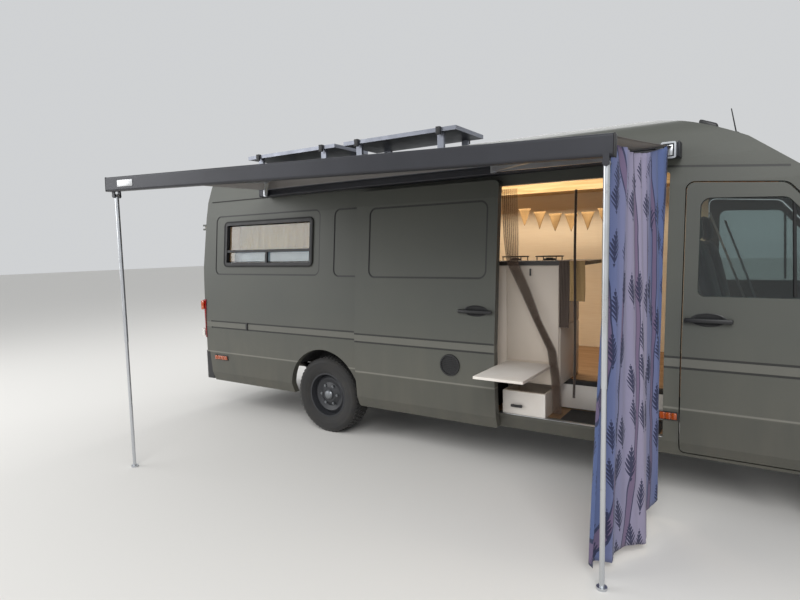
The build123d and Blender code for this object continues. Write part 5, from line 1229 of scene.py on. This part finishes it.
        form = add_sheet(bmesh.new(), (0.75, height), 160, 80, hang)
        keep_sheet("door_net", form, "gauze", height, "gathered", "body_side_right", 0)
        form = add_sheet(bmesh.new(), (0.03, height), 8, 60, edge)
        keep_sheet("net_edge", form, "net_tape", height, "hung", "body_side_right", 1.2)

    def bunting(self):
        # Cloth triangles sewn to a tape that sags between two hooks
        x_start, pitch, y, wide, tall = -0.700, 0.150, 0.470, 0.128, 0.165
        form = bmesh.new()
        for number in range(7):
            x_middle = x_start + number * pitch + 0.012 + wide / 2
            top = 2.060 - 0.090 * sin(pi * (x_middle - x_start) / (7 * pitch))

            def flag(u, v):
                billow = 0.012 * sin(pi * v) * sin(2.2 * number + 3 * u)
                return Vector((x_middle + (u - 0.5) * wide * (0.04 + 0.96 * v), y + billow, top - (1 - v) * tall))

            add_sheet(form, (wide, tall), 8, 8, flag)
        keep_sheet("bunting", form, "tan_cloth", None, "hung", "overhead_shelf", 1.0, 70, flat=(0.9, 0.165))

    def entrance(self):
        # A pale riser under a dark floor edge, a ribbed mat in the step well and the lamp under the ceiling
        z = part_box("kitchen_unit")[0].z
        mat = [((0.150, -0.900, 0.4405), (0.800, -0.620, 0.4450), 0.002)]
        for y in (-0.885 + step * 0.027 for step in range(10)):
            mat.append(((0.160, y, 0.4445), (0.790, y + 0.012, 0.4475), 0.001, 1))
        for name, material, blocks in (
            ("step_riser", "white_laminate", [((-0.366, -0.6045, 0.4485), (0.816, -0.6005, z - 0.030), 0.001)]),
            ("floor_edge", "step_rubber", [((-0.368, -0.608, z - 0.030), (0.818, -0.560, z + 0.003), 0.004)]),
            ("sill_strip", "aluminium", [((-0.372, -0.955, 0.4405), (0.822, -0.925, 0.444), 0.0015)]),
            ("step_mat", "step_rubber", mat),
            ("ceiling_lamp", "bulb", [((-1.500, -0.016, 2.492), (0.400, 0.016, 2.504), 0.004)]),
        ):
            keep_blocks(name, material, blocks)


class FitCabin(VanPieces, bpy.types.Operator):
    """Upholstered seats, seat belts, glass dividers, mattress and pillows"""

    bl_idname = "van.fit_cabin"
    bl_label = "Cabin"

    def execute(self, context):
        self.seats()
        self.bed()
        for side, word in SIDES:
            form = bmesh.new()
            low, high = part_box("cab_door_glass_" + word)
            foot = (1.490, side * (skin_y(1.38) - 0.012), low.z + 0.01)
            head = (1.470, side * (skin_y(1.90) - 0.012), high.z - 0.03)
            add_bar(form, foot, head, 0.016, 0.016, 0.003)
            keep("glass_divider_" + word, form, "rubber", "cab_door_" + word)
        form = bmesh.new()
        for side, _ in SIDES:
            add_bar(form, (1.045, side * 0.805, 1.860), (1.320, side * 0.705, 1.120), 0.044, 0.0015)
        keep("seat_belts", form, "belt")
        return {"FINISHED"}

    def seats(self):
        seat_x = 1.330
        base, pads = bmesh.new(), bmesh.new()
        upright = Matrix.Rotation(radians(90), 4, "Y")
        ribs = (-0.62, 0.62)
        for y in (0.430, -0.430):
            add_block(base, (seat_x - 0.21, y - 0.20, 0.7005), (seat_x + 0.19, y + 0.20, 0.990), 0.012)
            cushion = Matrix.Translation((seat_x + 0.015, y, 1.047))
            add_cushion(pads, (0.505, 0.515, 0.125), cushion, ribs, flat_below=True)
            back = Matrix.Translation((seat_x - 0.24, y, 1.10)) @ Matrix.Rotation(radians(-14), 4, "Y")
            add_cushion(pads, (0.635, 0.510, 0.118), back @ Matrix.Translation((0, 0, 0.30)) @ upright, ribs)
            head = Matrix.Translation((seat_x - 0.40, y, 1.79)) @ Matrix.Rotation(radians(-10), 4, "Y") @ upright
            add_cushion(pads, (0.195, 0.262, 0.088), head, cuts=9)
            for way in (-1, 1):
                add_disc(base, (seat_x - 0.385, y + way * 0.055, 1.70), (-0.17, 0, 1), 0.007, 0.14, 12)
        keep("seat_frames", base, "dash", slot="seat_cloth", replaced=["cab_seats"])
        keep_pad("seat_pads", pads, "seat", 0.8, "seat_cloth")

    def bed(self):
        low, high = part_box("mattress")
        size = high - low - Vector((0.004, 0.004, 0.002))
        form = bmesh.new()
        add_cushion(form, size, Matrix.Translation((low + high) / 2), (-0.5, 0.0, 0.5), 27, True)
        keep_pad("mattress_cover", form, "mattress", 0.9, "mattress_cloth", False, replaced=["mattress"])
        form = bmesh.new()
        for y, turn in ((-0.40, 4), (0.36, -6)):
            place = Matrix.Translation((-3.30, y, high.z + 0.062)) @ Matrix.Rotation(radians(turn), 4, "Z")
            add_cushion(form, (0.40, 0.62, 0.120), place)
        keep_pad("bed_pillows", form, "pillow", 0.55)


class SetStage(VanPieces, bpy.types.Operator):
    """Floor, lights, world and camera"""

    bl_idname = "van.set_stage"
    bl_label = "Stage"

    def execute(self, context):
        scene = context.scene
        form = bmesh.new()
        bmesh.ops.create_grid(form, x_segments=1, y_segments=1, size=60.0)
        mesh = bpy.data.meshes.new("floor")
        form.to_mesh(mesh)
        form.free()
        mesh.materials.append(Finish("studio_floor", "#dedcd8", None, Roughness=0.9).material)
        floor = bpy.data.objects.new("floor", mesh)
        scene.collection.objects.link(floor)
        world = bpy.data.worlds.new("studio")
        world.use_nodes = True
        sky = world.node_tree.nodes["Background"].inputs
        sky["Color"].default_value = linear("#eceef0")
        sky["Strength"].default_value = 0.75
        scene.world = world
        self.lamp(scene, "key", 620.0, (3.5, -9.0, 7.5), (-0.8, -0.8, 1.0), 6.0)
        self.lamp(scene, "fill", 330.0, (-8.5, -6.5, 4.5), (-1.0, 0.0, 1.0), 6.0)
        self.lamp(scene, "back", 420.0, (-2.0, 8.5, 7.0), (-1.0, 0.0, 1.4), 6.0)
        glow = self.lamp(scene, "cabin_lamp", 26.0, (-0.5, 0.0, 2.46), None, 1.8)
        glow.shape = "RECTANGLE"
        glow.size_y = 0.35
        glow.color = (1.0, 0.88, 0.72)
        self.camera(scene)
        scene.view_settings.view_transform = "Standard"
        return {"FINISHED"}

    def lamp(self, scene, name, watts, spot, aim, size):
        data = bpy.data.lights.new(name, "AREA")
        data.energy = watts
        data.size = size
        lamp = bpy.data.objects.new(name, data)
        lamp.location = spot
        if aim:
            lamp.rotation_euler = (Vector(aim) - Vector(spot)).to_track_quat("-Z", "Y").to_euler()
        scene.collection.objects.link(lamp)
        return data

    def camera(self, scene):
        turn, dip, roll = (radians(angle) for angle in (CAMERA_TURN, CAMERA_DIP, CAMERA_ROLL))
        ahead = Vector((-sin(turn) * cos(dip), cos(turn) * cos(dip), -sin(dip)))
        level = Vector((cos(turn), sin(turn), 0.0))
        above = level.cross(ahead)
        right = cos(roll) * level + sin(roll) * above
        up = -sin(roll) * level + cos(roll) * above
        data = bpy.data.cameras.new("camera")
        data.lens = CAMERA_LENS
        data.sensor_width = 36.0
        data.clip_end = 200.0
        camera = bpy.data.objects.new("camera", data)
        matrix = Matrix((right, up, -ahead)).transposed().to_4x4()
        matrix.translation = CAMERA_PLACE
        camera.matrix_world = matrix
        scene.collection.objects.link(camera)
        scene.camera = camera


class VanPanel(bpy.types.Panel):
    bl_idname = "VAN_PT_pieces"
    bl_label = "Camper Van"
    bl_space_type = "VIEW_3D"
    bl_region_type = "UI"
    bl_category = "Camper Van"

    def draw(self, context):
        for group in GROUPS:
            props = getattr(context.scene, group)
            for field in props.__annotations__:
                self.layout.prop(props, field)
        for operator in OPERATORS:
            self.layout.operator(operator.bl_idname)


GROUPS = {"van_body": BodyProps, "van_awning": AwningProps, "van_curtain": CurtainProps}
OPERATORS = (
    DressFrame,
    HangAwning,
    HangCurtain,
    FitWheels,
    FitWindow,
    FitBody,
    FitLamps,
    FitRoof,
    FitKitchen,
    FitCabin,
    SetStage,
)


def register():
    for name, group in GROUPS.items():
        bpy.utils.register_class(group)
        setattr(bpy.types.Scene, name, bpy.props.PointerProperty(type=group))
    for kind in (*OPERATORS, VanPanel):
        bpy.utils.register_class(kind)


def unregister():
    for kind in (VanPanel, *reversed(OPERATORS)):
        bpy.utils.unregister_class(kind)
    for name, group in GROUPS.items():
        delattr(bpy.types.Scene, name)
        bpy.utils.unregister_class(group)


def main():
    register()
    for operator in OPERATORS:
        group, name = operator.bl_idname.split(".")
        getattr(getattr(bpy.ops, group), name)()


if __name__ == "__main__":
    main()
